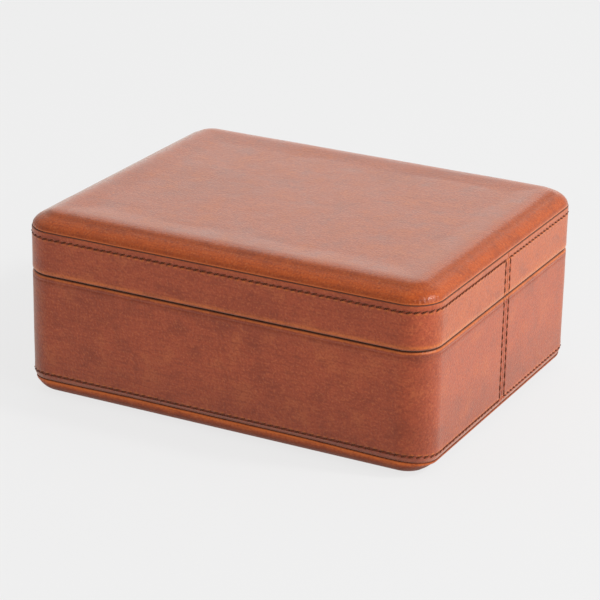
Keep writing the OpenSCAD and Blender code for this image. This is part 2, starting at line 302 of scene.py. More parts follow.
def put_in_place(piece: Piece) -> None:
    """Puts a piece's place, turn and scale into its mesh.

    Args:
        piece: The piece whose object ends up at the origin.
    """
    bpy.ops.object.select_all(action="DESELECT")
    bpy.context.view_layer.objects.active = piece
    piece.select_set(True)
    bpy.ops.object.transform_apply(location=True, rotation=True, scale=True)


def smooth_faces(piece: Piece, degrees: float) -> None:
    """Shades a piece smooth, apart from its sharp edges.

    Args:
        piece: The piece that is shaded.
        degrees: The angle from which an edge counts as sharp.
    """
    bpy.ops.object.select_all(action="DESELECT")
    bpy.context.view_layer.objects.active = piece
    piece.select_set(True)
    bpy.ops.object.shade_smooth_by_angle(angle=math.radians(degrees))


def apply_modifier(piece: Piece, kind: str, **settings: Any) -> None:
    """Adds a modifier with its settings and applies it.

    Args:
        piece: The piece that is changed.
        kind: Blender's name of the modifier type.
        settings: Properties of the modifier.
    """
    bpy.ops.object.select_all(action="DESELECT")
    bpy.context.view_layer.objects.active = piece
    piece.select_set(True)
    modifier = piece.modifiers.new(kind.title(), kind)
    for name, value in settings.items():
        setattr(modifier, name, value)
    bpy.ops.object.modifier_apply(modifier=modifier.name)


def draw_face(name: str, corners: Sequence[Vector]) -> Piece:
    """Draws a closed outline corner by corner and fills it.

    Args:
        name: The new piece's name.
        corners: Corners in millimetres, in order.

    Returns:
        A piece of one face, ready to be extruded.
    """
    piece = new_from(
        bpy.ops.mesh.primitive_plane_add, name, size=MM, location=corners[0] * MM
    )
    with editing(piece):
        bpy.ops.mesh.select_mode(type="VERT")
        bpy.ops.mesh.select_all(action="SELECT")
        bpy.ops.mesh.merge(type="CENTER")
        for here, there in zip(corners, corners[1:]):
            extrude(Part.VERT, there - here)
        bpy.ops.mesh.select_all(action="SELECT")
        bpy.ops.mesh.edge_face_add()
    return piece


# Sizes of the box


@dataclass(frozen=True)
class PlanPlace:
    """Where a point is on the plan: its inset, its run and the way outwards."""

    inset: float
    run: float
    outward: Vector


@dataclass(frozen=True)
class BoxPlan:
    """Rounded plan of the box, in millimetres."""

    width: float = 260.0
    depth: float = 210.0
    corner: float = 19.0

    @property
    def reach_x(self) -> float:
        """Distance from the middle to the corner centres along X."""
        return self.width / 2 - self.corner

    @property
    def reach_y(self) -> float:
        """Distance from the middle to the corner centres along Y."""
        return self.depth / 2 - self.corner

    @property
    def turn(self) -> float:
        """Length of one rounded corner along the outer face."""
        return self.corner * math.pi / 2

    @property
    def half_run(self) -> float:
        """Length of one half wrap along the outer face."""
        return 2 * (self.reach_x + self.reach_y + self.turn)

    def from_end(self, run: float) -> float:
        """Returns how far a run is from the nearer end of its half wrap."""
        return min(run, self.half_run - run)

    def locate(self, x: float, y: float) -> PlanPlace:
        """Finds the inset, the run and the way outwards of a point.

        Args:
            x: Place along X, in millimetres.
            y: Place along Y, in millimetres.

        Returns:
            The point's place on the plan.
        """
        near_x = min(max(x, -self.reach_x), self.reach_x)
        near_y = min(max(y, -self.reach_y), self.reach_y)
        away = Vector((x - near_x, y - near_y, 0))
        if away.length < NEAR:
            room = min(self.reach_x - abs(x), self.reach_y - abs(y))
            return PlanPlace(self.corner + room, self.run_of(x, y, away), Vector((0, 0, 0)))
        return PlanPlace(
            self.corner - away.length, self.run_of(x, y, away), away.normalized()
        )

    def run_of(self, x: float, y: float, away: Vector) -> float:
        """Finds the run of a point.

        Args:
            x: Place along X, in millimetres.
            y: Place along Y, in millimetres.
            away: The way from the core of the plan to the point.

        Returns:
            The run from the middle of the left end, in millimetres.
        """
        side = 1 if x > 0 else -1
        if abs(away.y) < TINY and abs(y) < self.reach_y:
            from_end = abs(y)
        elif abs(away.x) < TINY:
            from_end = self.reach_y + self.turn + self.reach_x - abs(x)
        else:
            angle = math.atan2(abs(away.y), abs(away.x))
            from_end = self.reach_y + self.corner * angle
        return from_end if side < 0 else self.half_run - from_end

    def point(self, run: float, inset: float, half: Half) -> tuple[Vector, Vector]:
        """Finds a point on one half wrap.

        Args:
            run: Run from the middle of the left end, in millimetres.
            inset: Inset from the outer face, in millimetres.
            half: Front or rear half.

        Returns:
            The point at height 0 and the unit vector outwards.
        """
        from_end = self.from_end(run)
        side = -1 if run < self.half_run / 2 else 1
        out = self.corner - inset
        if from_end <= self.reach_y:
            core, angle = (self.reach_x, from_end), 0.0
        elif from_end <= self.reach_y + self.turn:
            core = (self.reach_x, self.reach_y)
            angle = (from_end - self.reach_y) / self.corner
        else:
            past = from_end - self.reach_y - self.turn
            core, angle = (self.reach_x - past, self.reach_y), math.pi / 2
        away = Vector((math.cos(angle), math.sin(angle), 0))
        place = Vector((core[0], core[1], 0)) + away * out
        flip = Vector((side, half.value, 1))
        return place * flip, away * flip


@dataclass(frozen=True)
class StitchRows:
    """The sewing of one half wrap: a long row, and an upright row at each end of it."""

    height: float
    rim: float
    margin: float = 3.1
    pitch: float = 4.35
    end_pitch: float = 4.95

    def long_row(self, plan: BoxPlan) -> tuple[float, float, int]:
        """Divides the long row into stitches.

        Args:
            plan: The plan of the box.

        Returns:
            The first run, the pitch and the number of stitches.
        """
        length = plan.half_run - 2 * self.margin
        count = round(length / self.pitch)
        return self.margin, length / count, count

    def bulge(self, plan: BoxPlan, run: float) -> float:
        """Tells how far a place is from the holes of the long row.

        Args:
            plan: The plan of the box.
            run: Run from the middle of the left end, in millimetres.

        Returns:
            0 at a hole and 1 midway between two holes.
        """
        start, pitch, _ = self.long_row(plan)
        return 0.5 - 0.5 * math.cos(math.tau * (run - start) / pitch)

    def end_row(self) -> tuple[float, float, int]:
        """Divides an upright row into stitches.

        Returns:
            The first height, the pitch with its sign and the number of stitches.
        """
        length = self.rim - self.height
        count = max(1, round(abs(length) / self.end_pitch))
        return self.height, length / count, count


# Finishes


class Pattern(Enum):
    """What decides where a layer of dye shows: a noise, or the wear, painted highlight and painted
    shade laid on a piece.
    """

    CLOUDS = "clouds"
    PATCHES = "patches"
    GRAIN = "grain"
    STREAKS = "streaks"
    # Wear on the rolled edges, together with painted highlights along the rims, seams and between
    # the stitches
    RUB = "rub"
    # Mostly painted shade in grooves, gaps, along the hem and under the base, with dye settled in
    # grooves and joints
    SOIL = "soil"


class Ramp(Enum):
    """How a layer of dye rises between its two levels."""

    SOFT = "SMOOTHSTEP"
    EVEN = "LINEAR"


@dataclass(frozen=True)
class DyeLayer:
    """A colour laid over the leather where a pattern lies between two levels."""

    pattern: Pattern
    low: float
    high: float
    most: float
    tone: str
    ramp: Ramp = Ramp.SOFT


@dataclass(frozen=True)
class Finish:
    """A surface finish that makes one material."""

    name: str

    def make(self) -> Material:
        """Builds the material round its surface shader.

        Returns:
            The material.
        """
        material = bpy.data.materials.new(self.name)
        material.use_nodes = True
        tree = material.node_tree
        tree.nodes.clear()
        place = add_node(tree, "ShaderNodeTexCoord").outputs["Object"]
        shader = self.surface(tree, place)
        add_node(tree, "ShaderNodeOutputMaterial", inputs={"Surface": shader})
        return material

    def surface(self, tree: Tree, place: Socket) -> Socket:
        """Adds the nodes of the surface.

        Args:
            tree: The material's node tree.
            place: Socket of the object coordinates.

        Returns:
            The socket of the surface shader.
        """
        raise NotImplementedError


@dataclass(frozen=True)
class WaxedLeather(Finish):
    """Vegetable-tanned cowhide, hand-dyed chestnut and waxed.

    The dye takes unevenly, so the eye sees soft darker clouds, fine reddish specks in the
    pores and a brighter orange where edges are worn. Colour painted on each piece adds
    painted highlights along rims, seams and between stitches, and painted shade in grooves,
    gaps and under the base. The wax gives a satin gloss. Real pores stand about 0.3 mm
    apart, too fine to show, so grain and streaks are drawn coarser.
    """

    body: str = "#a6492b"
    cloud: str = "#7e321c"
    bright: str = "#bd643a"
    # Lighter orange of worn edges, also laid as painted highlight
    wear_and_highlight_tone: str = "#c4662c"
    # Dark red-brown laid as painted shade in grooves, gaps and under the base, and as dye in joints
    shade_and_soil_tone: str = "#3a0f06"
    # Brightest orange, laid where the first painted attribute goes past 1: painted highlights on
    # the rims and between stitches, and on the worn bottom ridge
    edge: str = "#d06c34"
    bloom: str = "#ffeeda"
    gloss: float = 0.42
    gloss_drop: float = 0.05
    gloss_rise: float = 0.06
    burnish: float = 0.1
    shine: float = 0.2
    sheen: float = 0.36
    sheen_gloss: float = 0.5
    grain_mm: float = 1.3
    grain_share: float = 0.5
    streak_mm: float = 1.4
    streak_share: float = 0.4
    streak: float = 0.1
    cloud_mm: float = 52.0
    cloud_share: float = 0.3
    patch_mm: float = 14.0
    patch_share: float = 0.4
    crumble: float = 0.58
    patch_levels: tuple[float, float] = (0.3, 0.7)
    pit_depth: float = 0.3
    wave_depth: float = 0.35
    wave_share: float = 0.5

    def layers(self) -> tuple[DyeLayer, ...]:
        """Lists the colours over the body colour, from the first to the last.

        Returns:
            The layers of dye, of wear with painted highlights, and of painted shade with dirt.
        """
        return (
            DyeLayer(Pattern.CLOUDS, 0.45, 0.68, self.cloud_share, self.cloud),
            DyeLayer(Pattern.PATCHES, 0.5, 0.7, self.patch_share, self.bright),
            DyeLayer(Pattern.RUB, 0.0, 1.0, 1.0, self.wear_and_highlight_tone, Ramp.EVEN),
            DyeLayer(Pattern.PATCHES, 0.48, 0.32, self.patch_share, self.cloud),
            DyeLayer(Pattern.STREAKS, 0.46, 0.66, self.streak_share, self.cloud),
            DyeLayer(Pattern.GRAIN, 0.5, 0.7, self.grain_share, self.cloud),
            DyeLayer(Pattern.GRAIN, 0.48, 0.3, self.grain_share, self.bright),
            # Painted highlights: the brightest orange where the first painted attribute goes past 1
            DyeLayer(Pattern.RUB, 1.0, 2.0, 1.0, self.edge),
            # Painted shade, with dye settled in grooves and joints
            DyeLayer(Pattern.SOIL, 0.0, 1.0, 1.0, self.shade_and_soil_tone, Ramp.EVEN),
        )

    def patterns(self, tree: Tree, place: Socket) -> dict[Pattern, Socket]:
        """Adds the noises and reads the wear, painted highlights and painted shade laid on the
        piece.

        Args:
            tree: The material's node tree.
            place: Socket of the object coordinates.

        Returns:
            The socket of each pattern.
        """
        drawn = add_node(
            tree,
            "ShaderNodeMapping",
            inputs={"Vector": place, "Scale": (self.streak, 1.0, 1.0)},
        ).outputs["Vector"]
        found = {}
        for pattern, size_mm, detail, warp, where in (
            (Pattern.CLOUDS, self.cloud_mm, 4, 0.6, place),
            (Pattern.PATCHES, self.patch_mm, 5, 0.3, place),
            (Pattern.GRAIN, self.grain_mm, 3, 0.0, place),
            (Pattern.STREAKS, self.streak_mm, 4, 0.0, drawn),
        ):
            found[pattern] = add_node(
                tree,
                "ShaderNodeTexNoise",
                inputs={
                    "Vector": where,
                    "Scale": 1 / (size_mm * MM),
                    "Detail": detail,
                    "Roughness": self.crumble,
                    "Distortion": warp,
                },
            ).outputs["Fac"]
        for pattern in (Pattern.RUB, Pattern.SOIL):
            found[pattern] = add_node(
                tree, "ShaderNodeAttribute", {"attribute_name": pattern.value}
            ).outputs["Fac"]
        return found

    def surface(self, tree: Tree, place: Socket) -> Socket:
        """Adds clouds, patches, grain, wear, painted highlights and painted shade under the wax.

        Args:
            tree: The material's node tree.
            place: Socket of the object coordinates.

        Returns:
            The socket of the surface shader.
        """
        patterns = self.patterns(tree, place)
        colour: Any = hex_to_linear(self.body)
        for layer in self.layers():
            share = add_node(
                tree,
                "ShaderNodeMapRange",
                {"interpolation_type": layer.ramp.value},
                {
                    "Value": patterns[layer.pattern],
                    "From Min": layer.low,
                    "From Max": layer.high,
                    "To Max": layer.most,
                },
            ).outputs["Result"]
            colour = add_node(
                tree,
                "ShaderNodeMix",
                {"data_type": "RGBA"},
                {MIX_FACTOR: share, MIX_A: colour, MIX_B: hex_to_linear(layer.tone)},
            ).outputs[MIX_OUT]
        low, high = self.patch_levels
        dull = add_node(
            tree,
            "ShaderNodeMapRange",
            inputs={
                "Value": patterns[Pattern.PATCHES],
                "From Min": low,
                "From Max": high,
                "To Min": self.gloss - self.gloss_drop,
                "To Max": self.gloss + self.gloss_rise,
            },
        ).outputs["Result"]
        gloss = add_node(
            tree,
            "ShaderNodeMath",
            {"operation": "MULTIPLY_ADD"},
            {0: patterns[Pattern.RUB], 1: -self.burnish, 2: dull},
        ).outputs["Value"]
        pores = add_node(
            tree,
            "ShaderNodeBump",
            inputs={
                "Strength": 1.0,
                "Distance": self.pit_depth * MM,
                "Height": patterns[Pattern.GRAIN],
            },
        ).outputs["Normal"]
        waves = add_node(
            tree,
            "ShaderNodeBump",
            inputs={
                "Strength": self.wave_share,
                "Distance": self.wave_depth * MM,
                "Height": patterns[Pattern.PATCHES],
                "Normal": pores,
            },
        ).outputs["Normal"]
        return add_node(
            tree,
            "ShaderNodeBsdfPrincipled",
            inputs={
                "Base Color": colour,
                "Roughness": gloss,
                "Normal": waves,
                "IOR": 1.5,
                "Specular IOR Level": self.shine,
                "Sheen Weight": self.sheen,
                "Sheen Roughness": self.sheen_gloss,
                "Sheen Tint": hex_to_linear(self.bloom),
            },
        ).outputs["BSDF"]


@dataclass(frozen=True)
class WaxedThread(Finish):
    """Linen thread drawn through dark wax: nearly matt, with a dull shine on its twist.

    Its twist, about 0.5 mm in a real thread, is drawn a little coarser so that it shows.
    """

    colour: str = "#451d10"
    lit: str = "#74402a"
    twist_mm: float = 0.7
    twist_depth: float = 0.08
    twist_share: float = 0.5
    gloss: float = 0.7
    shine: float = 0.15

    def surface(self, tree: Tree, place: Socket) -> Socket:
        """Adds the stripes of the twist.

        Args:
            tree: The material's node tree.
            place: Socket of the object coordinates.

        Returns:
            The socket of the surface shader.
        """
        twist = add_node(
            tree,
            "ShaderNodeTexWave",
            {"bands_direction": "DIAGONAL"},
            {"Vector": place, "Scale": 0.3 / (self.twist_mm * MM), "Distortion": 1.5},
        ).outputs["Fac"]
        colour = add_node(
            tree,
            "ShaderNodeMix",
            {"data_type": "RGBA"},
            {
                MIX_FACTOR: twist,
                MIX_A: hex_to_linear(self.colour),
                MIX_B: hex_to_linear(self.lit),
            },
        ).outputs[MIX_OUT]
        bump = add_node(
            tree,
            "ShaderNodeBump",
            inputs={
                "Strength": self.twist_share,
                "Distance": self.twist_depth * MM,
                "Height": twist,
            },
        ).outputs["Normal"]
        return add_node(
            tree,
            "ShaderNodeBsdfPrincipled",
            inputs={
                "Base Color": colour,
                "Roughness": self.gloss,
                "Normal": bump,
                "Specular IOR Level": self.shine,
            },
        ).outputs["BSDF"]


@dataclass(frozen=True)
class Suede(Finish):
    """Split calf suede: a soft nap that looks lighter where it is brushed the other way.

    The real nap is about 0.2 mm and is drawn coarser so that it shows.
    """

    colour: str = "#57311f"
    brushed: str = "#7e5036"
    nap_mm: float = 0.8
    nap_depth: float = 0.15
    nap_share: float = 0.7
    patch_mm: float = 28.0
    gloss: float = 0.95
    shine: float = 0.2
    sheen: float = 0.5
    sheen_gloss: float = 0.4

    def surface(self, tree: Tree, place: Socket) -> Socket:
        """Adds brushed patches and a fine nap.

        Args:
            tree: The material's node tree.
            place: Socket of the object coordinates.

        Returns:
            The socket of the surface shader.
        """
        patches = add_node(
            tree,
            "ShaderNodeTexNoise",
            inputs={
                "Vector": place,
                "Scale": 1 / (self.patch_mm * MM),
                "Detail": 4,
                "Distortion": 1.2,
            },
        ).outputs["Fac"]
        nap = add_node(
            tree,
            "ShaderNodeTexNoise",
            inputs={"Vector": place, "Scale": 1 / (self.nap_mm * MM), "Detail": 3},
        ).outputs["Fac"]
        colour: Any = hex_to_linear(self.colour)
        for blend, share, tone in (
            ("MIX", patches, self.brushed),
            ("MULTIPLY", nap, self.colour),
        ):
            colour = add_node(
                tree,
                "ShaderNodeMix",
                {"data_type": "RGBA", "blend_type": blend},
                {MIX_FACTOR: share, MIX_A: colour, MIX_B: hex_to_linear(tone)},
            ).outputs[MIX_OUT]
        bump = add_node(
            tree,
            "ShaderNodeBump",
            inputs={
                "Strength": self.nap_share,
                "Distance": self.nap_depth * MM,
                "Height": nap,
            },
        ).outputs["Normal"]
        return add_node(
            tree,
            "ShaderNodeBsdfPrincipled",
            inputs={
                "Base Color": colour,
                "Roughness": self.gloss,
                "Normal": bump,
                "Sheen Weight": self.sheen,
                "Sheen Roughness": self.sheen_gloss,
                "Specular IOR Level": self.shine,
            },
        ).outputs["BSDF"]


@dataclass(frozen=True)
class PlanedBoard(Finish):
    """Planed and sanded lime wood: pale, with faint darker growth lines and no shine."""

    early: str = "#c9ab80"
    late: str = "#b08e60"
    ring_mm: float = 3.0
    ring_depth: float = 0.1
    ring_share: float = 0.3
    stretch: float = 0.06
    gloss: float = 0.7

    def surface(self, tree: Tree, place: Socket) -> Socket:
        """Adds stretched growth lines.

        Args:
            tree: The material's node tree.
            place: Socket of the object coordinates.

        Returns:
            The socket of the surface shader.
        """
        along = add_node(
            tree,
            "ShaderNodeMapping",
            inputs={"Vector": place, "Scale": (self.stretch, self.stretch, 1.0)},
        ).outputs["Vector"]
        rings = add_node(
            tree,
            "ShaderNodeTexNoise",
            inputs={"Vector": along, "Scale": 1 / (self.ring_mm * MM), "Detail": 4},
        ).outputs["Fac"]
        colour = add_node(
            tree,
            "ShaderNodeMix",
            {"data_type": "RGBA"},
            {
                MIX_FACTOR: rings,
                MIX_A: hex_to_linear(self.early),
                MIX_B: hex_to_linear(self.late),
            },
        ).outputs[MIX_OUT]
        bump = add_node(
            tree,
            "ShaderNodeBump",
            inputs={
                "Strength": self.ring_share,
                "Distance": self.ring_depth * MM,
                "Height": rings,
            },
        ).outputs["Normal"]
        return add_node(
            tree,
            "ShaderNodeBsdfPrincipled",
            inputs={"Base Color": colour, "Roughness": self.gloss, "Normal": bump},
        ).outputs["BSDF"]


@dataclass(frozen=True)
class PolishedBrass(Finish):
    """Rolled brass, polished and a little handled: warm yellow with finer, duller smears."""

    metal: str = "#d8b066"
    handled: str = "#b98f4a"
    smear_mm: float = 6.0
    polished: float = 0.18
    dulled: float = 0.4

    def surface(self, tree: Tree, place: Socket) -> Socket:
        """Adds smears to the colour and the gloss.

        Args:
            tree: The material's node tree.
            place: Socket of the object coordinates.

        Returns:
            The socket of the surface shader.
        """
        smears = add_node(
            tree,
            "ShaderNodeTexNoise",
            inputs={"Vector": place, "Scale": 1 / (self.smear_mm * MM), "Detail": 5},
        ).outputs["Fac"]
        colour = add_node(
            tree,
            "ShaderNodeMix",
            {"data_type": "RGBA"},
            {
                MIX_FACTOR: smears,
                MIX_A: hex_to_linear(self.metal),
                MIX_B: hex_to_linear(self.handled),
            },
        ).outputs[MIX_OUT]
        gloss = add_node(
            tree,
            "ShaderNodeMapRange",
            inputs={"Value": smears, "To Min": self.polished, "To Max": self.dulled},
        ).outputs["Result"]
        return add_node(
            tree,
            "ShaderNodeBsdfPrincipled",
            inputs={"Base Color": colour, "Metallic": 1.0, "Roughness": gloss},
        ).outputs["BSDF"]


@dataclass(frozen=True)
class StudioPaper(Finish):
    """Seamless white studio paper, lit evenly: nearly the same tone all over."""

    tone: str = "#efefef"
    glow: float = 0.88
    paper: float = 0.1
    fibre_mm: float = 2.0
    fibre_share: float = 0.02

    def surface(self, tree: Tree, place: Socket) -> Socket:
        """Adds the paper's own even light and a little shading.

        Args:
            tree: The material's node tree.
            place: Socket of the object coordinates.

        Returns:
            The socket of the surface shader.
        """
        fibres = add_node(
            tree,
            "ShaderNodeTexNoise",
            inputs={"Vector": place, "Scale": 1 / (self.fibre_mm * MM), "Detail": 2},
        ).outputs["Fac"]
        light = add_node(
            tree,
            "ShaderNodeEmission",
            inputs={"Color": hex_to_linear(self.tone), "Strength": self.glow},
        ).outputs["Emission"]
        grey = (self.paper, self.paper, self.paper, 1.0)
        pale = self.paper * (1 + self.fibre_share)
        shade = add_node(
            tree,
            "ShaderNodeMix",
            {"data_type": "RGBA"},
            {MIX_FACTOR: fibres, MIX_A: grey, MIX_B: (pale, pale, pale, 1.0)},
        ).outputs[MIX_OUT]
        skin = add_node(tree, "ShaderNodeBsdfDiffuse", inputs={"Color": shade}).outputs["BSDF"]
        return add_node(tree, "ShaderNodeAddShader", inputs={0: light, 1: skin}).outputs["Shader"]


# Leather

Paint = Callable[[PlanPlace, Vector], tuple[float, float]]


@dataclass(frozen=True)
class Line:
    """A soft line, strongest in its middle."""

    amount: float
    width: float
    middle: float = 0.0

    def at(self, place: float) -> float:
        """Returns how strong the line is at a place, in millimetres."""
        return self.amount * bell(place - self.middle, self.width)


@dataclass(frozen=True)
class Fade:
    """A change that starts at one place and is full at another."""

    start: float
    full: float
    amount: float = 1.0

    def at(self, place: float) -> float:
        """Returns how strong the change is at a place, in millimetres."""
        return self.amount * smooth(self.start, self.full, place)


@dataclass(frozen=True)
class Unevenness:
    """Slight waves of a surface: a broad one, and a finer one on top of it."""

    broad: float
    broad_mm: tuple[float, float]
    fine: float
    fine_mm: tuple[float, float]
    fine_step: float

    def at(self, first: float, second: float, layer: float) -> float:
        """Finds how high the surface stands at a place.

        Args:
            first: Place along the first direction, in millimetres.
            second: Place along the second direction, in millimetres.
            layer: A number that gives each surface its own waves.

        Returns:
            Height in millimetres.
        """
        wide, tall = self.broad_mm
        broad = noise.noise(Vector((first / wide, second / tall, layer)))
        wide, tall = self.fine_mm
        fine = noise.noise(Vector((first / wide, second / tall, layer + self.fine_step)))
        return self.broad * broad + self.fine * fine


def paint_wear_and_light(piece: Piece, plan: BoxPlan, paint: Paint) -> None:
    """Gives a leather piece its attributes of wear with painted highlight, and of painted shade
    with dirt.

    Args:
        piece: The leather piece.
        plan: The plan its vertices are found on.
        paint: Returns the wear with painted highlight and the painted shade with dirt, for a place
            and a point in millimetres.
    """
    mesh = piece.data
    rub = mesh.attributes.new(Pattern.RUB.value, "FLOAT", "POINT")
    soil = mesh.attributes.new(Pattern.SOIL.value, "FLOAT", "POINT")
    for i, vertex in enumerate(mesh.vertices):
        point = vertex.co / MM
        place = plan.locate(point.x, point.y)
        rub.data[i].value, soil.data[i].value = paint(place, point)


@dataclass
class HingeSeats:
    """The two recesses that the hinges lie in, cut out of a rear wrap's rim."""

    rim: float
    into: int
    places: tuple[float, ...] = (-82.0, 82.0)
    pin_y: float = 106.2
    pin_z: float = 75.0
    length: float = 38.4
    reach: float = 10.9
    leaf: float = 1.6
    round_r: float = 2.85
    round_steps: int = 4
    back: float = 1.3
    over: float = 1.0

    def outline(self) -> list[Vector]:
        """Lists the corners of the recess across the hinge.

        Returns:
            Corners in millimetres, at the recess's left end.
        """
        floor = self.rim + self.into * self.leaf
        meets = math.degrees(math.asin(abs(floor - self.pin_z) / self.round_r))
        curve = arc(
            (self.pin_y, self.pin_z),
            (-self.round_r, self.into * self.round_r),
            (meets, 90),
            self.round_steps,
        )
        top = self.rim - self.into * self.over
        front, back = self.pin_y - self.reach, self.pin_y + self.back
        across = [(front, top), (front, floor), *curve, (back, curve[-1][1]), (back, top)]
        return [Vector((0, y, z)) for y, z in across]

    def cut(self, wrap: Piece) -> None:
        """Cuts both recesses out of a wrap.

        Args:
            wrap: The closed rear wrap.
        """
        for middle in self.places:
            seat = draw_face(wrap.name + "_seat", self.outline())
            with editing(seat):
                bpy.ops.mesh.select_mode(type="FACE")
                bpy.ops.mesh.select_all(action="SELECT")
                extrude(Part.FACE, (self.length, 0, 0))
            seat.location.x = (middle - self.length / 2) * MM
            put_in_place(seat)
            close_up(seat)
            apply_modifier(wrap, "BOOLEAN", object=seat, operation="DIFFERENCE")
            bpy.data.objects.remove(seat)


@dataclass
class HalfWrap:
    """Half of a band of side leather, swept round the box and sewn along one edge."""

    name: str
    half: Half
    outline: Outline
    rows: StitchRows
    plan: BoxPlan
    seats: HingeSeats | None = None
    end_span: float = 6.0
    end_cuts: int = 17
    side_cuts: int = 84
    front_parts: int = 3
    front_cuts: int = 75
    turn_steps: int = 28
    skin: float = 1.35
    square_from: float = 2.0
    square_to: float = 10.0
    groove_d: float = 0.4
    groove: Fade = Fade(0.85, 0.3)
    groove_past: float = 0.7
    hole_d: float = 0.16
    hole_w: float = 1.3
    butt: Line = Line(0.4, 0.45)
    clear: Fade = Fade(0.5, 6.0)
    waves: Unevenness = Unevenness(0.14, (31, 24), 0.05, (9, 7), 4)
    sink: float = 0.06

    def build(self) -> Piece:
        """Sweeps the outline round the half, cuts it along the run and works its relief.

        Returns:
            The closed wrap.
        """
        left = -self.plan.width / 2
        piece = draw_face(self.name, [Vector((left + x, 0, z)) for x, z in self.outline])
        self.sweep(piece)
        close_up(piece)
        self.work_surface(piece)
        if self.half is Half.REAR:
            piece.scale = (1, -1, 1)
            put_in_place(piece)
            close_up(piece)
        if self.seats:
            self.seats.cut(piece)
        return piece

    def sweep(self, piece: Piece) -> None:
        """Extrudes the section along the straight sides and spins it round the corners.

        Args:
            piece: The section, one face at the middle of the left end.
        """
        plan = self.plan
        rest = plan.reach_y - self.end_span
        front = 2 * plan.reach_x / self.front_parts
        with editing(piece):
            bpy.ops.mesh.select_mode(type="FACE")
            bpy.ops.mesh.select_all(action="SELECT")
            extrude(Part.FACE, (0, -self.end_span, 0))
            extrude(Part.FACE, (0, -rest, 0))
            self.turn_corner(-1)
            for _ in range(self.front_parts):
                extrude(Part.FACE, (front, 0, 0))
            self.turn_corner(1)
            extrude(Part.FACE, (0, rest, 0))
            extrude(Part.FACE, (0, self.end_span, 0))
            for length, axis, cuts in (
                (self.end_span, 1, self.end_cuts),
                (rest, 1, self.side_cuts),
                (front, 0, self.front_cuts),
            ):
                self.cut_along(piece, length, axis, cuts)

    def turn_corner(self, side: int) -> None:
        """Spins the selected section round one front corner.

        Args:
            side: -1 for the left corner and 1 for the right one.
        """
        bpy.ops.mesh.spin(
            steps=self.turn_steps,
            angle=math.pi / 2,
            center=Vector((side * self.plan.reach_x, -self.plan.reach_y, 0)) * MM,
            axis=(0, 0, -1),
        )

    def cut_along(self, piece: Piece, length: float, axis: int, cuts: int) -> None:
        """Cuts every straight stretch of one length across its run.

        Args:
            piece: The wrap, open in edit mode.
            length: Length of the stretch in millimetres.
            axis: Axis that the stretch runs along.
            cuts: Number of cuts.
        """

        def is_stretch(edge: bmesh.types.BMEdge) -> bool:
            """Tells an edge of that length along the axis.

            Args:
                edge: An edge of the wrap.

            Returns:
                Whether the edge is one of those that are cut.
            """
            step = edge.verts[1].co - edge.verts[0].co
            same = abs(abs(step[axis]) - length * MM) < MERGE
            return same and abs(step.length - length * MM) < MERGE

        if pick(piece, Part.EDGE, is_stretch):
            bpy.ops.mesh.subdivide(number_cuts=cuts)

    def work_surface(self, piece: Piece) -> None:
        """Squares the turned-in corners and presses the stitches into the outer face.

        Args:
            piece: The swept wrap.
        """
        for vertex in piece.data.vertices:
            point = vertex.co / MM
            place = self.plan.locate(point.x, point.y)
            if place.inset < self.skin:
                depth = self.press(place.run, point.z) - self.wave(place.run, point.z)
                vertex.co -= place.outward * depth * MM
            elif place.inset > self.square_from:
                vertex.co = self.squared(point, place) * MM

    def wave(self, run: float, height: float) -> float:
        """Finds how far the leather stands out where it isn't drawn quite flat.

        Args:
            run: Run from the middle of the left end, in millimetres.
            height: Height of the point, in millimetres.

        Returns:
            Millimetres, outwards.
        """
        low, high = sorted((self.rows.height, self.rows.rim))
        clear = self.clear.at(height - low) * self.clear.at(high - height)
        return clear * (self.waves.at(run, height, self.half.value) - self.sink)

    def squared(self, point: Vector, place: PlanPlace) -> Vector:
        """Moves a point of a rounded corner out to the square corner inside the box.

        Args:
            point: The point in millimetres.
            place: Its place on the plan.

        Returns:
            The moved point in millimetres.
        """
        share = (place.inset - self.square_from) / (self.square_to - self.square_from)
        out = self.plan.corner - place.inset
        widest = max(abs(place.outward.x), abs(place.outward.y), TINY)
        return point + place.outward * out * (1 / widest - 1) * min(1.0, share)

    def press(self, run: float, height: float) -> float:
        """Finds how deep the sewing presses the outer face at a place.

        Args:
            run: Run from the middle of the left end, in millimetres.
            height: Height of the point, in millimetres.

        Returns:
            Depth in millimetres.
        """
        rows = self.rows
        from_end = self.plan.from_end(run)
        hole = (1 - rows.bulge(self.plan, run)) ** 2
        depth = self.hole_d * hole * bell(height - rows.height, self.hole_w)
        first, step, _ = rows.end_row()
        low, high = sorted((rows.height, rows.rim))
        if low - self.groove_past < height < high + self.groove_past:
            hole = (0.5 + 0.5 * math.cos(math.tau * (height - first) / step)) ** 2
            across = abs(from_end - rows.margin)
            depth += self.groove_d * self.groove.at(across)
            depth += self.hole_d * hole * bell(across, self.hole_w)
        return depth + self.butt.at(from_end)


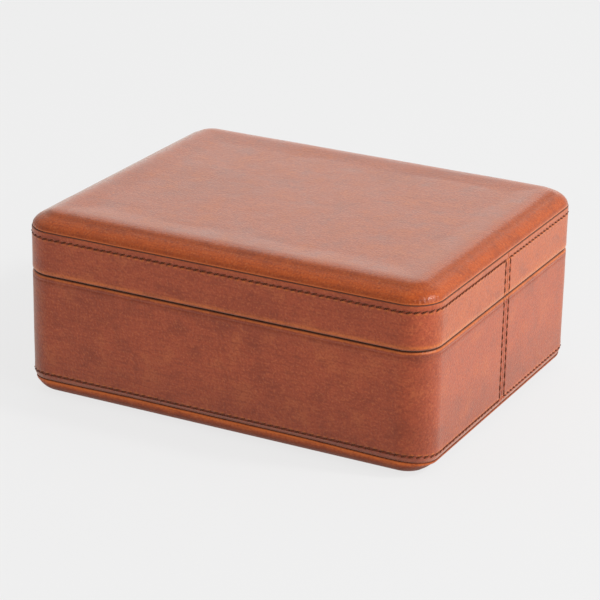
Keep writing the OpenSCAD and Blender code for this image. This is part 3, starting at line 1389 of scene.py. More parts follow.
@dataclass
class FormedShell:
    """The wet-formed top or bottom leather, with its flange let in behind the sides."""

    name: str
    outline: Outline
    plan: BoxPlan
    cells: tuple[int, int] = (74, 58)
    turn_steps: int = 16
    ridge: float | None = None
    waves: Unevenness = Unevenness(0.2, (46, 38), 0.05, (13, 10), 9)
    skin: Fade = Fade(1.2, 3.0)
    dome: float = 0.8
    dome_in: Fade = Fade(36.0, 15.0)
    dome_up: Fade = Fade(7.0, 8.3)
    pleats: int = 11
    pleat: Line = Line(0.14, 1.5, 1.8)
    pleat_in: Fade = Fade(0.02, 0.3)

    def build(self) -> Piece:
        """Extrudes the rim of a grid along the outline, then spins and closes it.

        Returns:
            The closed shell.
        """
        flat = self.outline[0][1]
        piece = new_from(
            bpy.ops.mesh.primitive_grid_add,
            self.name,
            x_subdivisions=self.cells[0],
            y_subdivisions=self.cells[1],
            stretch=(self.plan.reach_x, self.plan.reach_y, 1),
            size=2 * MM,
            location=(0, 0, flat * MM),
        )
        reach = Vector((self.plan.reach_x, self.plan.reach_y, 0)) * MM
        with editing(piece):
            for axis, side in ((0, -1), (0, 1), (1, -1), (1, 1)):
                self.extrude_side(piece, axis, side, reach)
            for side_x in (-1, 1):
                for side_y in (-1, 1):
                    self.turn_corner(piece, side_x, side_y, reach)
            bpy.ops.mesh.select_all(action="SELECT")
            bpy.ops.mesh.remove_doubles(threshold=MERGE)
            pick(piece, Part.EDGE, lambda e: e.is_boundary)
            bpy.ops.mesh.edge_face_add()
        close_up(piece)
        if self.ridge is not None:
            self.form(piece, self.ridge)
        return piece

    def form(self, piece: Piece, ridge: float) -> None:
        """Gives the leather its slight waves, and pleats where it was drawn round a corner.

        Args:
            piece: The closed shell.
            ridge: Height that the pleats run out to, in millimetres.
        """
        flat = self.outline[0][1]
        for vertex in piece.data.vertices:
            point = vertex.co / MM
            place = self.plan.locate(point.x, point.y)
            if place.inset > self.plan.corner - TOUCH and abs(point.z - flat) > 1:
                continue
            above = abs(point.z - ridge)
            lift = self.skin.at(above) * self.waves.at(point.x, point.y, flat)
            lift -= self.dome * self.dome_in.at(place.inset) * self.dome_up.at(point.z - ridge)
            turned = min(abs(place.outward.x), abs(place.outward.y))
            angle = math.atan2(place.outward.y, place.outward.x)
            pleat = self.pleat.at(above) * self.pleat_in.at(turned)
            pleat *= math.sin(angle * 4 * self.pleats)
            vertex.co.z += math.copysign(lift, flat - ridge) * MM
            vertex.co += place.outward * pleat * MM

    def extrude_side(self, piece: Piece, axis: int, side: int, reach: Vector) -> None:
        """Extrudes one straight side of the grid along the whole outline.

        Args:
            piece: The shell, open in edit mode.
            axis: Axis that the side lies across.
            side: -1 or 1 along that axis.
            reach: Half sizes of the grid, in metres.
        """
        edge_at = side * reach[axis]
        flat = self.outline[0][1] * MM

        def on_side(edge: bmesh.types.BMEdge) -> bool:
            """Tells an edge on this side of the flat grid.

            Args:
                edge: An edge of the shell.

            Returns:
                Whether the edge is extruded.
            """
            return all(
                abs(v.co[axis] - edge_at) < MERGE
                and abs(v.co[1 - axis]) < reach[1 - axis] + MERGE
                and abs(v.co.z - flat) < MERGE
                for v in edge.verts
            )

        pick(piece, Part.EDGE, on_side)
        for (inset, height), (next_inset, next_height) in zip(self.outline, self.outline[1:]):
            step = [0.0, 0.0, next_height - height]
            step[axis] = side * (inset - next_inset)
            extrude(Part.EDGE, step)

    def turn_corner(self, piece: Piece, side_x: int, side_y: int, reach: Vector) -> None:
        """Spins the outline round one corner, from the long side to the end.

        Args:
            piece: The shell, open in edit mode.
            side_x: -1 or 1 along X.
            side_y: -1 or 1 along Y.
            reach: Half sizes of the grid, in metres.
        """
        corner = Vector((side_x * reach.x, side_y * reach.y, 0))

        def on_end(edge: bmesh.types.BMEdge) -> bool:
            """Tells an edge across the long side's strip, at this corner.

            Args:
                edge: An edge of the shell.

            Returns:
                Whether the edge is spun.
            """
            return all(
                abs(v.co.x - corner.x) < MERGE and (v.co.y - corner.y) * side_y > -MERGE
                for v in edge.verts
            ) and (max(abs(v.co.y) for v in edge.verts) > reach.y + MERGE)

        pick(piece, Part.EDGE, on_end)
        bpy.ops.mesh.spin(
            steps=self.turn_steps,
            angle=math.pi / 2,
            center=corner,
            axis=(0, 0, -1 if side_x * side_y < 0 else 1),
        )


@dataclass
class SewnThread:
    """The stitches of one half wrap, each a copy of one slanted, plunging stitch."""

    name: str
    half: Half
    rows: StitchRows
    plan: BoxPlan
    radius: float = 0.44
    sides: int = 6
    cuts: int = 4
    plunge: float = 0.7
    thinned: float = 0.35
    proud_inset: float = 0.06
    slant: float = 24.0
    slant_spread: float = 7.0
    stray: float = 0.25
    end_slant: float = 5.0
    end_spread: float = 3.0
    end_share: float = 0.9
    long_share: float = 1.12

    def build(self) -> Piece:
        """Models one stitch, copies it along the rows and joins the copies.

        Returns:
            The thread, one piece of separate stitches.
        """
        master = self.model_stitch()
        copies = []
        for place in self.long_places() + self.end_places():
            stitch = master.copy()
            stitch.data = master.data.copy()
            stitch.data.transform(place)
            bpy.context.collection.objects.link(stitch)
            copies.append(stitch)
        bpy.ops.object.select_all(action="DESELECT")
        for stitch in copies:
            stitch.select_set(True)
        bpy.context.view_layer.objects.active = copies[0]
        bpy.ops.object.join()
        thread = bpy.context.object
        thread.name = thread.data.name = self.name
        bpy.data.objects.remove(master)
        return thread

    def model_stitch(self) -> Piece:
        """Shapes one stitch along X, with its ends bent down and thinned.

        Returns:
            A stitch 1 mm long, which its place stretches to its length.
        """
        stitch = new_from(
            bpy.ops.mesh.primitive_cylinder_add,
            self.name + "_stitch",
            vertices=self.sides,
            radius=self.radius * MM,
            depth=MM,
            rotation=(0, math.pi / 2, 0),
        )
        with editing(stitch):
            pick(
                stitch,
                Part.EDGE,
                lambda e: abs(e.verts[0].co.x - e.verts[1].co.x) > MM / 2,
            )
            bpy.ops.mesh.subdivide(number_cuts=self.cuts)
            for k in range(self.cuts + 2):
                along = -0.5 + k / (self.cuts + 1)
                bend = abs(2 * along) ** 3
                thin = 1 - self.thinned * bend
                pick(stitch, Part.VERT, lambda v, x=along: abs(v.co.x - x * MM) < MERGE)
                bpy.ops.transform.resize(
                    value=(1, thin, thin), center_override=(along * MM, 0, 0)
                )
                bpy.ops.transform.translate(value=(0, 0, -self.plunge * bend * MM))
        smooth_faces(stitch, SOFT_FOLD)
        return stitch

    def placed(
        self, middle: Vector, along: Vector, outward: Vector, length: float, slant: float
    ) -> Matrix:
        """Lays the stitch at a place.

        Args:
            middle: The stitch's middle, in metres.
            along: Unit vector along the row.
            outward: Unit vector away from the leather.
            length: Length of the stitch in millimetres.
            slant: Angle between the stitch and the row, in degrees.

        Returns:
            A matrix for the stitch's mesh.
        """
        turned = Matrix.Rotation(math.radians(slant), 3, outward) @ along
        across = outward.cross(turned)
        frame = Matrix((turned * length, across, outward)).transposed().to_4x4()
        return Matrix.Translation(middle) @ frame

    def long_places(self) -> list[Matrix]:
        """Finds the places of the long row's stitches, each a little astray.

        Returns:
            A matrix for each stitch.
        """
        start, pitch, count = self.rows.long_row(self.plan)
        length = pitch * self.long_share
        found = []
        for k in range(count):
            run = start + (k + 0.5) * pitch
            point, outward = self.plan.point(run, self.proud_inset, self.half)
            ahead, _ = self.plan.point(run + 0.1, self.proud_inset, self.half)
            along = (ahead - point).normalized()
            spread = noise.noise(Vector((run, self.rows.height, 0.5)))
            slant = -self.half.value * (self.slant + self.slant_spread * spread)
            stray = noise.noise(Vector((run, 0.5, 7.5)))
            point.z = self.rows.height + self.stray * stray
            found.append(self.placed(point * MM, along, outward, length, slant))
        return found

    def end_places(self) -> list[Matrix]:
        """Finds the places of the upright stitches at both ends of the row.

        Returns:
            A matrix for each stitch.
        """
        start, pitch, count = self.rows.end_row()
        upright = Vector((0, 0, 1))
        length = abs(pitch) * self.end_share
        found = []
        for run in (self.rows.margin, self.plan.half_run - self.rows.margin):
            for k in range(count):
                point, outward = self.plan.point(run, self.proud_inset, self.half)
                point.z = start + (k + 0.5) * pitch
                spread = noise.noise(Vector((run, point.z, 2.5)))
                slant = self.end_slant + self.end_spread * spread
                found.append(self.placed(point * MM, upright, outward, length, slant))
        return found


# Base, lid, lining and hinges


@dataclass
class Finishes:
    """Every material of the box, made once."""

    side: Material = field(init=False)
    formed: Material = field(init=False)
    foot: Material = field(init=False)
    thread: Material = field(init=False)
    suede: Material = field(init=False)
    board: Material = field(init=False)
    brass: Material = field(init=False)

    def __post_init__(self) -> None:
        """Makes the materials."""
        self.side = WaxedLeather("waxed_chestnut_side_leather").make()
        self.formed = WaxedLeather(
            "wet_formed_chestnut_leather",
            body="#a34d2a",
            cloud="#7c341d",
            bright="#bb6738",
            wear_and_highlight_tone="#b04d1b",
            gloss=0.34,
            cloud_mm=70.0,
            patch_mm=15.0,
            sheen=0.25,
            grain_mm=1.1,
            grain_share=0.6,
            streak_share=0.32,
            streak=0.12,
            pit_depth=0.2,
        ).make()
        self.foot = WaxedLeather(
            "wet_formed_bottom_leather",
            body="#a34d2a",
            cloud="#7c341d",
            bright="#bb6738",
            wear_and_highlight_tone="#c2622c",
            gloss=0.5,
            shine=0.1,
            sheen=0.05,
            cloud_mm=70.0,
            patch_mm=11.0,
        ).make()
        self.thread = WaxedThread("waxed_linen_thread").make()
        self.suede = Suede("brown_calf_suede").make()
        self.board = PlanedBoard("planed_lime_board").make()
        self.brass = PolishedBrass("polished_rolled_brass").make()


def dress(
    piece: Piece,
    material: Material,
    body: str,
    node: str | None = None,
) -> None:
    """Gives a new piece its material, its body and the node it stands for.

    Args:
        piece: The finished piece.
        material: Its material.
        body: The CAD body that it moves with.
        node: The CAD node that it replaces, if any.
    """
    piece.data.materials.clear()
    piece.data.materials.append(material)
    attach(piece, body)
    if node:
        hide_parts(node)
    log.info("%s: %d faces, rides on %s", piece.name, len(piece.data.polygons), body)


class Wall(Enum):
    """A wall of the box, by how many quarter turns it stands away from the front."""

    FRONT = 0
    RIGHT = 1
    BACK = 2
    LEFT = 3


@dataclass
class LiningPanel:
    """A thin board wrapped in suede that lines one wall."""

    name: str
    wall: Wall
    foot: float
    edge: float
    fold: float
    thick: float = 2.4
    glue: float = 0.05
    turned: float = 1.25
    soft_r: float = 0.6
    bevel: float = 0.3
    inside: tuple[float, float] = (240.0, 190.0)
    lengths: tuple[float, float] = (237.5, 185.1)
    pillow: float = 0.22
    pillow_in: Fade = Fade(1.0, 14.0)
    foot_gap: float = 3.0
    wave: float = 0.1
    wave_mm: tuple[float, float] = (31.0, 19.0)
    wave_in: Fade = Fade(2.0, 20.0)
    rows: int = 12
    cuts: int = 46

    @property
    def across(self) -> int:
        """Tells the long walls (0) from the end walls (1)."""
        return self.wall.value % 2

    def outline(self) -> Outline:
        """Lists the panel's outline across its wall.

        Returns:
            Points as (distance from the wall, height).
        """
        way = 1 if self.edge > self.foot else -1
        last = self.edge - way * self.soft_r
        face = [
            (self.thick, self.foot + (last - self.foot) * k / self.rows)
            for k in range(1, self.rows)
        ]
        centre = (self.thick - self.soft_r, last)
        edge = arc(centre, (self.soft_r, way * self.soft_r), (0, 90), 4)
        return [
            (self.glue, self.foot),
            (self.thick - self.bevel, self.foot),
            (self.thick, self.foot + way * self.bevel),
            *face,
            *edge,
            (self.turned, self.edge),
            (self.turned, self.fold - way * self.glue),
            (self.glue, self.fold - way * self.glue),
        ]

    def build(self) -> Piece:
        """Draws the panel across its wall, runs it along and turns it to its wall.

        Returns:
            The closed panel.
        """
        length = self.lengths[self.across]
        reach = self.inside[1 - self.across] / 2
        corners = [Vector((-length / 2, x - reach, z)) for x, z in self.outline()]
        piece = draw_face(self.name, corners)
        with editing(piece):
            bpy.ops.mesh.select_mode(type="FACE")
            bpy.ops.mesh.select_all(action="SELECT")
            extrude(Part.FACE, (length, 0, 0))
            pick(piece, Part.EDGE, lambda e: abs(e.calc_length() - length * MM) < MERGE)
            bpy.ops.mesh.subdivide(number_cuts=self.cuts)
        self.pad_face(piece, length, reach)
        piece.rotation_euler.z = self.wall.value * math.pi / 2
        put_in_place(piece)
        close_up(piece)
        smooth_faces(piece, BOARD_FOLD)
        return piece

    def pad_face(self, piece: Piece, length: float, reach: float) -> None:
        """Lets the suede stand proud of the panel's middle, with its ends drawn round.

        Args:
            piece: The panel, drawn for the front wall.
            length: Its length in millimetres.
            reach: Distance from the middle of the box to the wall, in millimetres.
        """
        low, high = sorted((self.foot, self.edge))
        wide, tall = self.wave_mm
        for vertex in piece.data.vertices:
            point = vertex.co / MM
            if point.y + reach < self.thick - TOUCH:
                continue
            from_end = length / 2 - abs(point.x)
            inner = min(from_end, point.z - low - self.foot_gap, high - point.z)
            wave = noise.noise(Vector((point.x / wide, point.z / tall, self.wall.value)))
            crown = self.pillow * self.pillow_in.at(inner)
            vertex.co.y += (crown + self.wave * wave * self.wave_in.at(inner)) * MM


@dataclass
class PaddedPanel:
    """A board with thin wadding under suede: crowned, and pulled in along its sides."""

    name: str
    flat: float
    up: int
    size: tuple[float, float] = (234.6, 184.6)
    corner: float = 7.0
    thick: float = 3.0
    lip: float = 1.0
    foot_bevel: float = 0.4
    glued: float = 1.05
    slack: float = 0.7
    proud: float = 1.6
    pull: float = 0.35
    wave: float = 0.22
    wave_mm: tuple[float, float] = (34.0, 30.0)
    cells: tuple[int, int] = (52, 40)
    turn_steps: int = 6
    frames: int = 20

    def outline(self) -> Outline:
        """Lists the panel's outline before it is filled, from its top out and round its edge.

        Returns:
            Points as (inset, height).
        """
        top = self.thick - self.slack
        edge = arc((self.corner, self.lip), (self.corner, top - self.lip), (90, 176), 7)
        foot = [(0.0, self.lip), (0.0, self.foot_bevel), (self.foot_bevel, 0.0)]
        points = [(self.corner, top), *edge, *foot]
        return [(inset, self.flat + self.up * height) for inset, height in points]

    def build(self) -> Piece:
        """Models the panel, fills it by a cloth simulation and draws its sides in.

        Returns:
            The closed panel.
        """
        plan = BoxPlan(self.size[0], self.size[1], self.corner)
        piece = FormedShell(
            self.name, self.outline(), plan, self.cells, self.turn_steps
        ).build()
        self.fill(piece)
        self.draw_in(piece, plan)
        with editing(piece):
            pick(piece, Part.FACE, lambda f: len(f.verts) > 4)
            bpy.ops.mesh.delete(type="ONLY_FACE")
        apply_modifier(piece, "SUBSURF", levels=1, render_levels=1)
        with editing(piece):
            pick(piece, Part.EDGE, lambda e: e.is_boundary)
            bpy.ops.mesh.edge_face_add()
        close_up(piece)
        smooth_faces(piece, SOFT_FOLD)
        return piece

    def fill(self, piece: Piece) -> None:
        """Blows the suede up over the wadding and keeps the result within a limit.

        Args:
            piece: The closed panel.
        """
        start = [vertex.co.copy() for vertex in piece.data.vertices]
        low = [i for i, at in enumerate(start) if abs(at.z / MM - self.flat) < self.glued]
        held = piece.vertex_groups.new(name="held")
        held.add(low, 1.0, "REPLACE")
        cloth = piece.modifiers.new("Cloth", "CLOTH")
        cloth.settings.quality = 6
        cloth.settings.mass = 0.3
        cloth.settings.tension_stiffness = 12
        cloth.settings.compression_stiffness = 12
        cloth.settings.shear_stiffness = 6
        cloth.settings.bending_stiffness = 0.4
        cloth.settings.use_pressure = True
        cloth.settings.uniform_pressure_force = 4.0
        cloth.settings.vertex_group_mass = held.name
        cloth.settings.effector_weights.gravity = 0.0
        for frame in range(1, self.frames + 1):
            bpy.context.scene.frame_set(frame)
        blown = piece.evaluated_get(bpy.context.evaluated_depsgraph_get()).data
        ends = [vertex.co.copy() for vertex in blown.vertices]
        piece.modifiers.remove(cloth)
        bpy.context.scene.frame_set(1)
        highest = max((end - here).length for here, end in zip(start, ends))
        share = min(1.0, self.proud * MM / highest) if highest > 0 else 0.0
        for vertex, here, end in zip(piece.data.vertices, start, ends):
            vertex.co = here + (end - here) * share

    def draw_in(self, piece: Piece, plan: BoxPlan) -> None:
        """Draws the sides in between the corners and lays soft waves over the top.

        Args:
            piece: The filled panel.
            plan: Its rounded plan.
        """
        wide, deep = self.wave_mm
        for vertex in piece.data.vertices:
            point = vertex.co / MM
            place = plan.locate(point.x, point.y)
            along = point.x / plan.reach_x if abs(place.outward.y) > 0.5 else point.y / plan.reach_y
            edge = smooth(plan.corner, 1.0, place.inset)
            draw = self.pull * (1 - min(1.0, abs(along)) ** 2) * edge
            wave = noise.noise(Vector((point.x / wide, point.y / deep, self.flat)))
            lift = self.wave * wave * smooth(self.lip, self.thick, abs(point.z - self.flat))
            vertex.co -= place.outward * draw * MM
            vertex.co.z += self.up * lift * MM


@dataclass
class Case:
    """What the base and the lid share: two sewn half wraps, formed leather and a lining.

    The way in is the direction from the rim into the case: -1 down into the base, and 1 up
    into the lid.
    """

    plan: BoxPlan
    finishes: Finishes
    body: str
    way_in: int
    rim: float
    fold: float
    row: float
    back_cut: float
    lining_foot: float
    pad_node: str
    pad_flat: float
    rim_r: float = 2.0
    leather: float = 2.0
    flange: float = 1.2
    inside: float = 10.0
    end_gap: float = 1.9
    lining_drop: float = 3.0
    groove_d: float = 0.4
    groove_half: float = 0.7
    row_cuts: tuple[float, ...] = (1.1, 1.9, 3.2)
    rim_cuts: tuple[float, ...] = (3.5, 5.0, 7.0, 9.0)
    rim_inner_r: float = 0.9
    inner_cut: float = 4.4
    fold_r: float = 0.4
    board_edge: float = 6.0
    # Dye settled in the long stitch groove, with painted shade there
    row_dye_and_shade: Line = Line(0.2, 0.45)
    # Painted highlights on the leather between the stitch holes
    stitch_highlight: Line = Line(1.3, 0.5, 1.0)
    # Dye settled in the upright stitch grooves, with painted shade there
    end_row_dye_and_shade: Line = Line(0.3, 0.5, 3.1)
    butt_dirt: Line = Line(0.3, 0.2)
    # Painted shade deep in the gap between lid and base
    rim_shade: float = 0.9
    rim_shade_in: Fade = Fade(2.6, 4.5, 0.72)
    darkest: float = 0.95

    @property
    def rows(self) -> StitchRows:
        """The sewing of the case."""
        return StitchRows(self.row, self.rim + self.way_in * self.end_gap)

    def groove(self) -> Outline:
        """Lists the stitch groove in the side leather's outline, towards the rim.

        Returns:
            Points as (inset, height).
        """
        half = -self.way_in * self.groove_half
        return [
            (0.0, self.row - half),
            (self.groove_d, self.row - half / 2),
            (self.groove_d, self.row + half / 2),
            (0.0, self.row + half),
        ]

    def turned_in(self) -> Outline:
        """Lists the side leather's outline over the rim, down the inside and back.

        Returns:
            Points as (inset, height).
        """
        rim, way, inner = self.rim, self.way_in, self.inside + self.flange
        outer_r, inner_r = self.rim_r, self.rim_inner_r
        back = rim + way * self.flange
        return [
            *arc((outer_r, rim + way * outer_r), (outer_r, -way * outer_r), (180, 90), 8),
            *[(inset, rim) for inset in self.rim_cuts],
            *arc((inner - inner_r, rim + way * inner_r), (inner_r, -way * inner_r), (90, 0), 4),
            (inner, rim + way * self.inner_cut),
            (inner, self.fold - way * self.fold_r),
            (inner - self.fold_r, self.fold),
            (self.inside, self.fold),
            (self.inside, back),
            (self.board_edge, back),
            (self.leather, back),
            (self.leather, self.back_cut),
        ]

    def wrap_outline(self) -> Outline:
        """Lists the whole outline of the side leather.

        Returns:
            Points as (inset, height).
        """
        raise NotImplementedError

    def wrap_paint(self, place: PlanPlace, point: Vector) -> tuple[float, float]:
        """Paints wear, painted highlights and painted shade on the side leather.

        Args:
            place: Place on the plan.
            point: The point in millimetres.

        Returns:
            Wear with painted highlight, and painted shade with dye in grooves and joints.
        """
        raise NotImplementedError

    def build_formed(self) -> None:
        """Builds the case's formed leather."""
        raise NotImplementedError

    def drift(self, piece: Piece) -> None:
        """Leaves a piece as it is, where nothing was drawn out of line."""

    def build(self) -> None:
        """Builds the leather, the thread, the linings and the pad of the case."""
        for half in Half:
            self.build_wrap(half)
        self.build_formed()
        edge = self.rim + self.way_in * self.lining_drop
        for wall in Wall:
            node = f"{self.body}_{wall.name.lower()}_lining"
            lining = LiningPanel(node + "_suede", wall, self.lining_foot, edge, self.fold).build()
            dress(lining, self.finishes.suede, self.body, node)
        pad = PaddedPanel(self.pad_node + "_suede", self.pad_flat, -self.way_in).build()
        dress(pad, self.finishes.suede, self.body, self.pad_node)

    def build_wrap(self, half: Half) -> None:
        """Builds the side leather and the thread of one half.

        Args:
            half: Front or rear half.
        """
        node = f"{self.body}_{half.name.lower()}_wrap"
        seats = HingeSeats(self.rim, self.way_in) if half is Half.REAR else None
        wrap = HalfWrap(
            node + "_leather", half, self.wrap_outline(), self.rows, self.plan, seats
        ).build()
        paint_wear_and_light(wrap, self.plan, self.wrap_paint)
        self.drift(wrap)
        smooth_faces(wrap, LEATHER_FOLD)
        dress(wrap, self.finishes.side, self.body, node)
        thread = SewnThread(node + "_thread", half, self.rows, self.plan).build()
        self.drift(thread)
        dress(thread, self.finishes.thread, self.body)

    def shade_in_rim(self, inset: float, outer: Fade) -> float:
        """Finds the painted shade in the gap, on the part of the rim that turns in.

        Args:
            inset: Inset of the point, in millimetres.
            outer: How the painted shade starts behind the outer face.

        Returns:
            Painted shade.
        """
        return self.rim_shade * outer.at(inset) * (1 - self.rim_shade_in.at(inset))


@dataclass
class BaseCase(Case):
    """Side wraps, formed bottom, sewing and lining of the base."""

    body: str = "base"
    way_in: int = -1
    rim: float = 74.9
    fold: float = 66.9
    row: float = 14.0
    back_cut: float = 40.0
    lining_foot: float = 11.6
    pad_node: str = "base_floor_pad"
    pad_flat: float = 11.65
    hem: float = 9.9
    hem_in: float = 1.3
    hem_r: float = 0.3
    hem_draw: tuple[tuple[float, float], ...] = ((0.92, -3.1), (0.45, -2.1), (0.15, -1.3))
    side_step: float = 5.0
    side_steps: int = 10
    high_cuts: tuple[float, ...] = (68.5, 70.2)
    crease: float = 3.0
    crease_d: float = 0.2
    crease_half: float = 0.6
    foot: float = 9.8
    foot_set: float = 1.0
    foot_end: float = 14.5
    flange_top: float = 15.8
    seam_gap: float = 0.05
    hem_dip: float = 2.2
    hem_dip_up: Fade = Fade(36.0, 17.0)
    hem_lift: float = 0.9
    hem_lift_run: float = 60.0
    hem_lift_up: Fade = Fade(13.4, 11.6)
    above_foot: Fade = Fade(5.0, 9.0)
    drift_from: float = 1.5
    foot_tuck: float = 0.9
    foot_tuck_up: Fade = Fade(9.5, 6.0)
    roll_in: float = 2.3
    roll_bend: float = 0.18
    roll_mid: float = 8.0
    # Painted highlight on the base rim's rounding, where light bounces in the gap
    rim_highlight: Fade = Fade(0.03, 0.2, 1.45)
    rim_from: Fade = Fade(72.6, 73.2)
    rim_behind: Fade = Fade(0.35, 1.0)
    # Painted shade in a band below the base rim
    under_rim_shade: Line = Line(0.2, 2.0, 71.5)
    under_rim_out: Fade = Fade(2.0, 0.5)
    row_shade: Line = Line(0.12, 1.3)
    # Painted shade on the rounded corners, toning down the light there
    corner_shade: Line = Line(0.2, 9.0)
    corner_shade_out: Fade = Fade(0.5, 0.1)
    # Darker towards the bottom of the base
    low_darkening: Fade = Fade(46.0, 15.0, 0.17)
    # Painted shade on the strip below the stitch row, which faces down
    under_row: Fade = Fade(0.2, -0.8, 0.15)
    # Painted shade along the hem
    hem_shade: Line = Line(0.3, 0.8, 0.6)
    # Along the ends: less painted shade below the row, and less painted highlight on the ridge
    end_less_paint: float = 0.7
    # Wear on the bottom roll's ridge, with a painted highlight on it
    ridge_wear_and_highlight: Line = Line(1.7, 0.8, 8.9)
    ridge_out: Fade = Fade(2.5, 1.6)
    # Painted shade on the underside of the bottom roll
    foot_shade: Fade = Fade(8.2, 5.0, 0.62)
    # Painted shade where the bottom leather meets the hem
    seam_shade: Fade = Fade(9.55, 9.8, 0.5)
    foot_darkest: float = 0.9

    def wrap_outline(self) -> Outline:
        """Lists the outline of the side leather, up the outside, over the rim and back.

        Returns:
            Points as (inset, height).
        """
        row, crease = self.row, self.rim - self.crease
        sides = [row + z for z in self.row_cuts]
        sides += [row + self.side_step * k for k in range(1, self.side_steps + 1)]
        sides += self.high_cuts
        return [
            (self.leather, self.hem + 0.2),
            (self.hem_in + 0.35, self.hem),
            (self.hem_in, self.hem + self.hem_r),
            *[(inset, row + z) for inset, z in self.hem_draw],
            *self.groove(),
            *[(0.0, z) for z in sides],
            (0.0, crease - self.crease_half),
            (self.crease_d, crease - 0.25),
            (self.crease_d, crease + 0.25),
            (0.0, crease + self.crease_half),
            *self.turned_in(),
        ]

    def wrap_paint(self, place: PlanPlace, point: Vector) -> tuple[float, float]:
        """Paints the side leather: painted highlights on the rim and between stitches, painted
        shade in the grooves, in the gap, under the rim and along the hem, and darker towards the
        bottom.

        Args:
            place: Place on the plan.
            point: The point in millimetres.

        Returns:
            Rub and soil.
        """
        z, run, inset = point.z, place.run, place.inset
        over_row = z - self.row
        from_end = self.plan.from_end(run)
        mid_corner = self.plan.reach_y + self.plan.turn / 2
        rub = self.rim_highlight.at(inset) * self.rim_from.at(z)
        rub += self.rows.bulge(self.plan, run) * self.stitch_highlight.at(over_row)
        soil = self.row_dye_and_shade.at(over_row) + self.row_shade.at(over_row)
        soil += self.corner_shade.at(from_end - mid_corner) * self.corner_shade_out.at(inset)
        soil += self.low_darkening.at(z) + self.under_row.at(over_row)
        soil += self.hem_shade.at(z - self.hem)
        if over_row < 2:
            soil *= 1 - self.end_less_paint * self.at_end(run)
        soil += self.under_rim_shade.at(z) * self.under_rim_out.at(inset)
        soil += self.shade_in_rim(inset, self.rim_behind) * self.rim_from.at(z)
        if over_row > 0:
            soil += self.end_row_dye_and_shade.at(from_end) + self.butt_dirt.at(from_end)
        return rub, min(self.darkest, soil)

    def shell_outline(self) -> Outline:
        """Lists the outline of the formed bottom, from its flat out round the roll and back.

        Returns:
            Points as (inset, height).
        """
        roll = (self.foot_end, self.foot)
        behind = self.leather + self.seam_gap
        deep = self.leather + self.flange
        inner = (self.foot_end - deep, self.foot - self.leather)
        return [
            (self.plan.corner, 0.0),
            *arc(roll, (self.foot_end - self.foot_set, self.foot), (270, 184), 16),
            (self.foot_set + 0.15, self.foot),
            (behind, self.foot),
            (behind, self.flange_top),
            (deep, self.flange_top),
            *arc(roll, inner, (180, 270), 8),
            (self.plan.corner, self.leather),
        ]

    def shell_paint(self, place: PlanPlace, point: Vector) -> tuple[float, float]:
        """Paints the formed bottom: a worn ridge with a painted highlight, and painted shade on the
        underside and at the seam.

        Args:
            place: Place on the plan.
            point: The point in millimetres.

        Returns:
            Rub and soil.
        """
        rub = self.ridge_wear_and_highlight.at(point.z) * self.ridge_out.at(place.inset)
        rub *= 1 - self.end_less_paint * self.at_end(place.run)
        soil = self.foot_shade.at(point.z) + self.seam_shade.at(point.z)
        return rub, min(self.foot_darkest, soil)

    def at_end(self, run: float) -> float:
        """Returns 0 along the front and back and 1 along the ends, for a run."""
        reach = self.plan.reach_y
        return smooth(reach + self.plan.turn, reach, self.plan.from_end(run))

    def drift(self, piece: Piece) -> None:
        """Lets the hem dip along the ends and rise a little along the front, as drawn by hand.

        Args:
            piece: A piece of the base's leather or thread.
        """
        front = self.plan.reach_y + self.plan.turn
        for vertex in piece.data.vertices:
            point = vertex.co / MM
            if not self.drift_from < point.z < self.hem_dip_up.start:
                continue
            place = self.plan.locate(point.x, point.y)
            end = self.at_end(place.run)
            from_end = self.plan.from_end(place.run)
            dip = self.hem_dip * end * self.hem_dip_up.at(point.z)
            lift = self.hem_lift * smooth(front, front + self.hem_lift_run, from_end)
            lift *= self.hem_lift_up.at(point.z)
            vertex.co.z += (lift - dip) * self.above_foot.at(point.z) * MM
            if place.inset < self.roll_inset(point.z):
                tuck = self.foot_tuck * end * self.foot_tuck_up.at(point.z)
                vertex.co -= place.outward * tuck * MM

    def roll_inset(self, height: float) -> float:
        """Returns the inset up to which the outside of the roll reaches, at a height."""
        return self.roll_in + self.roll_bend * (self.roll_mid - height) ** 2

    def build_formed(self) -> None:
        """Builds the wet-formed bottom leather."""
        piece = FormedShell(
            "bottom_formed_leather", self.shell_outline(), self.plan, turn_steps=30
        ).build()
        paint_wear_and_light(piece, self.plan, self.shell_paint)
        self.drift(piece)
        smooth_faces(piece, LEATHER_FOLD)
        dress(piece, self.finishes.foot, self.body, "bottom_leather")


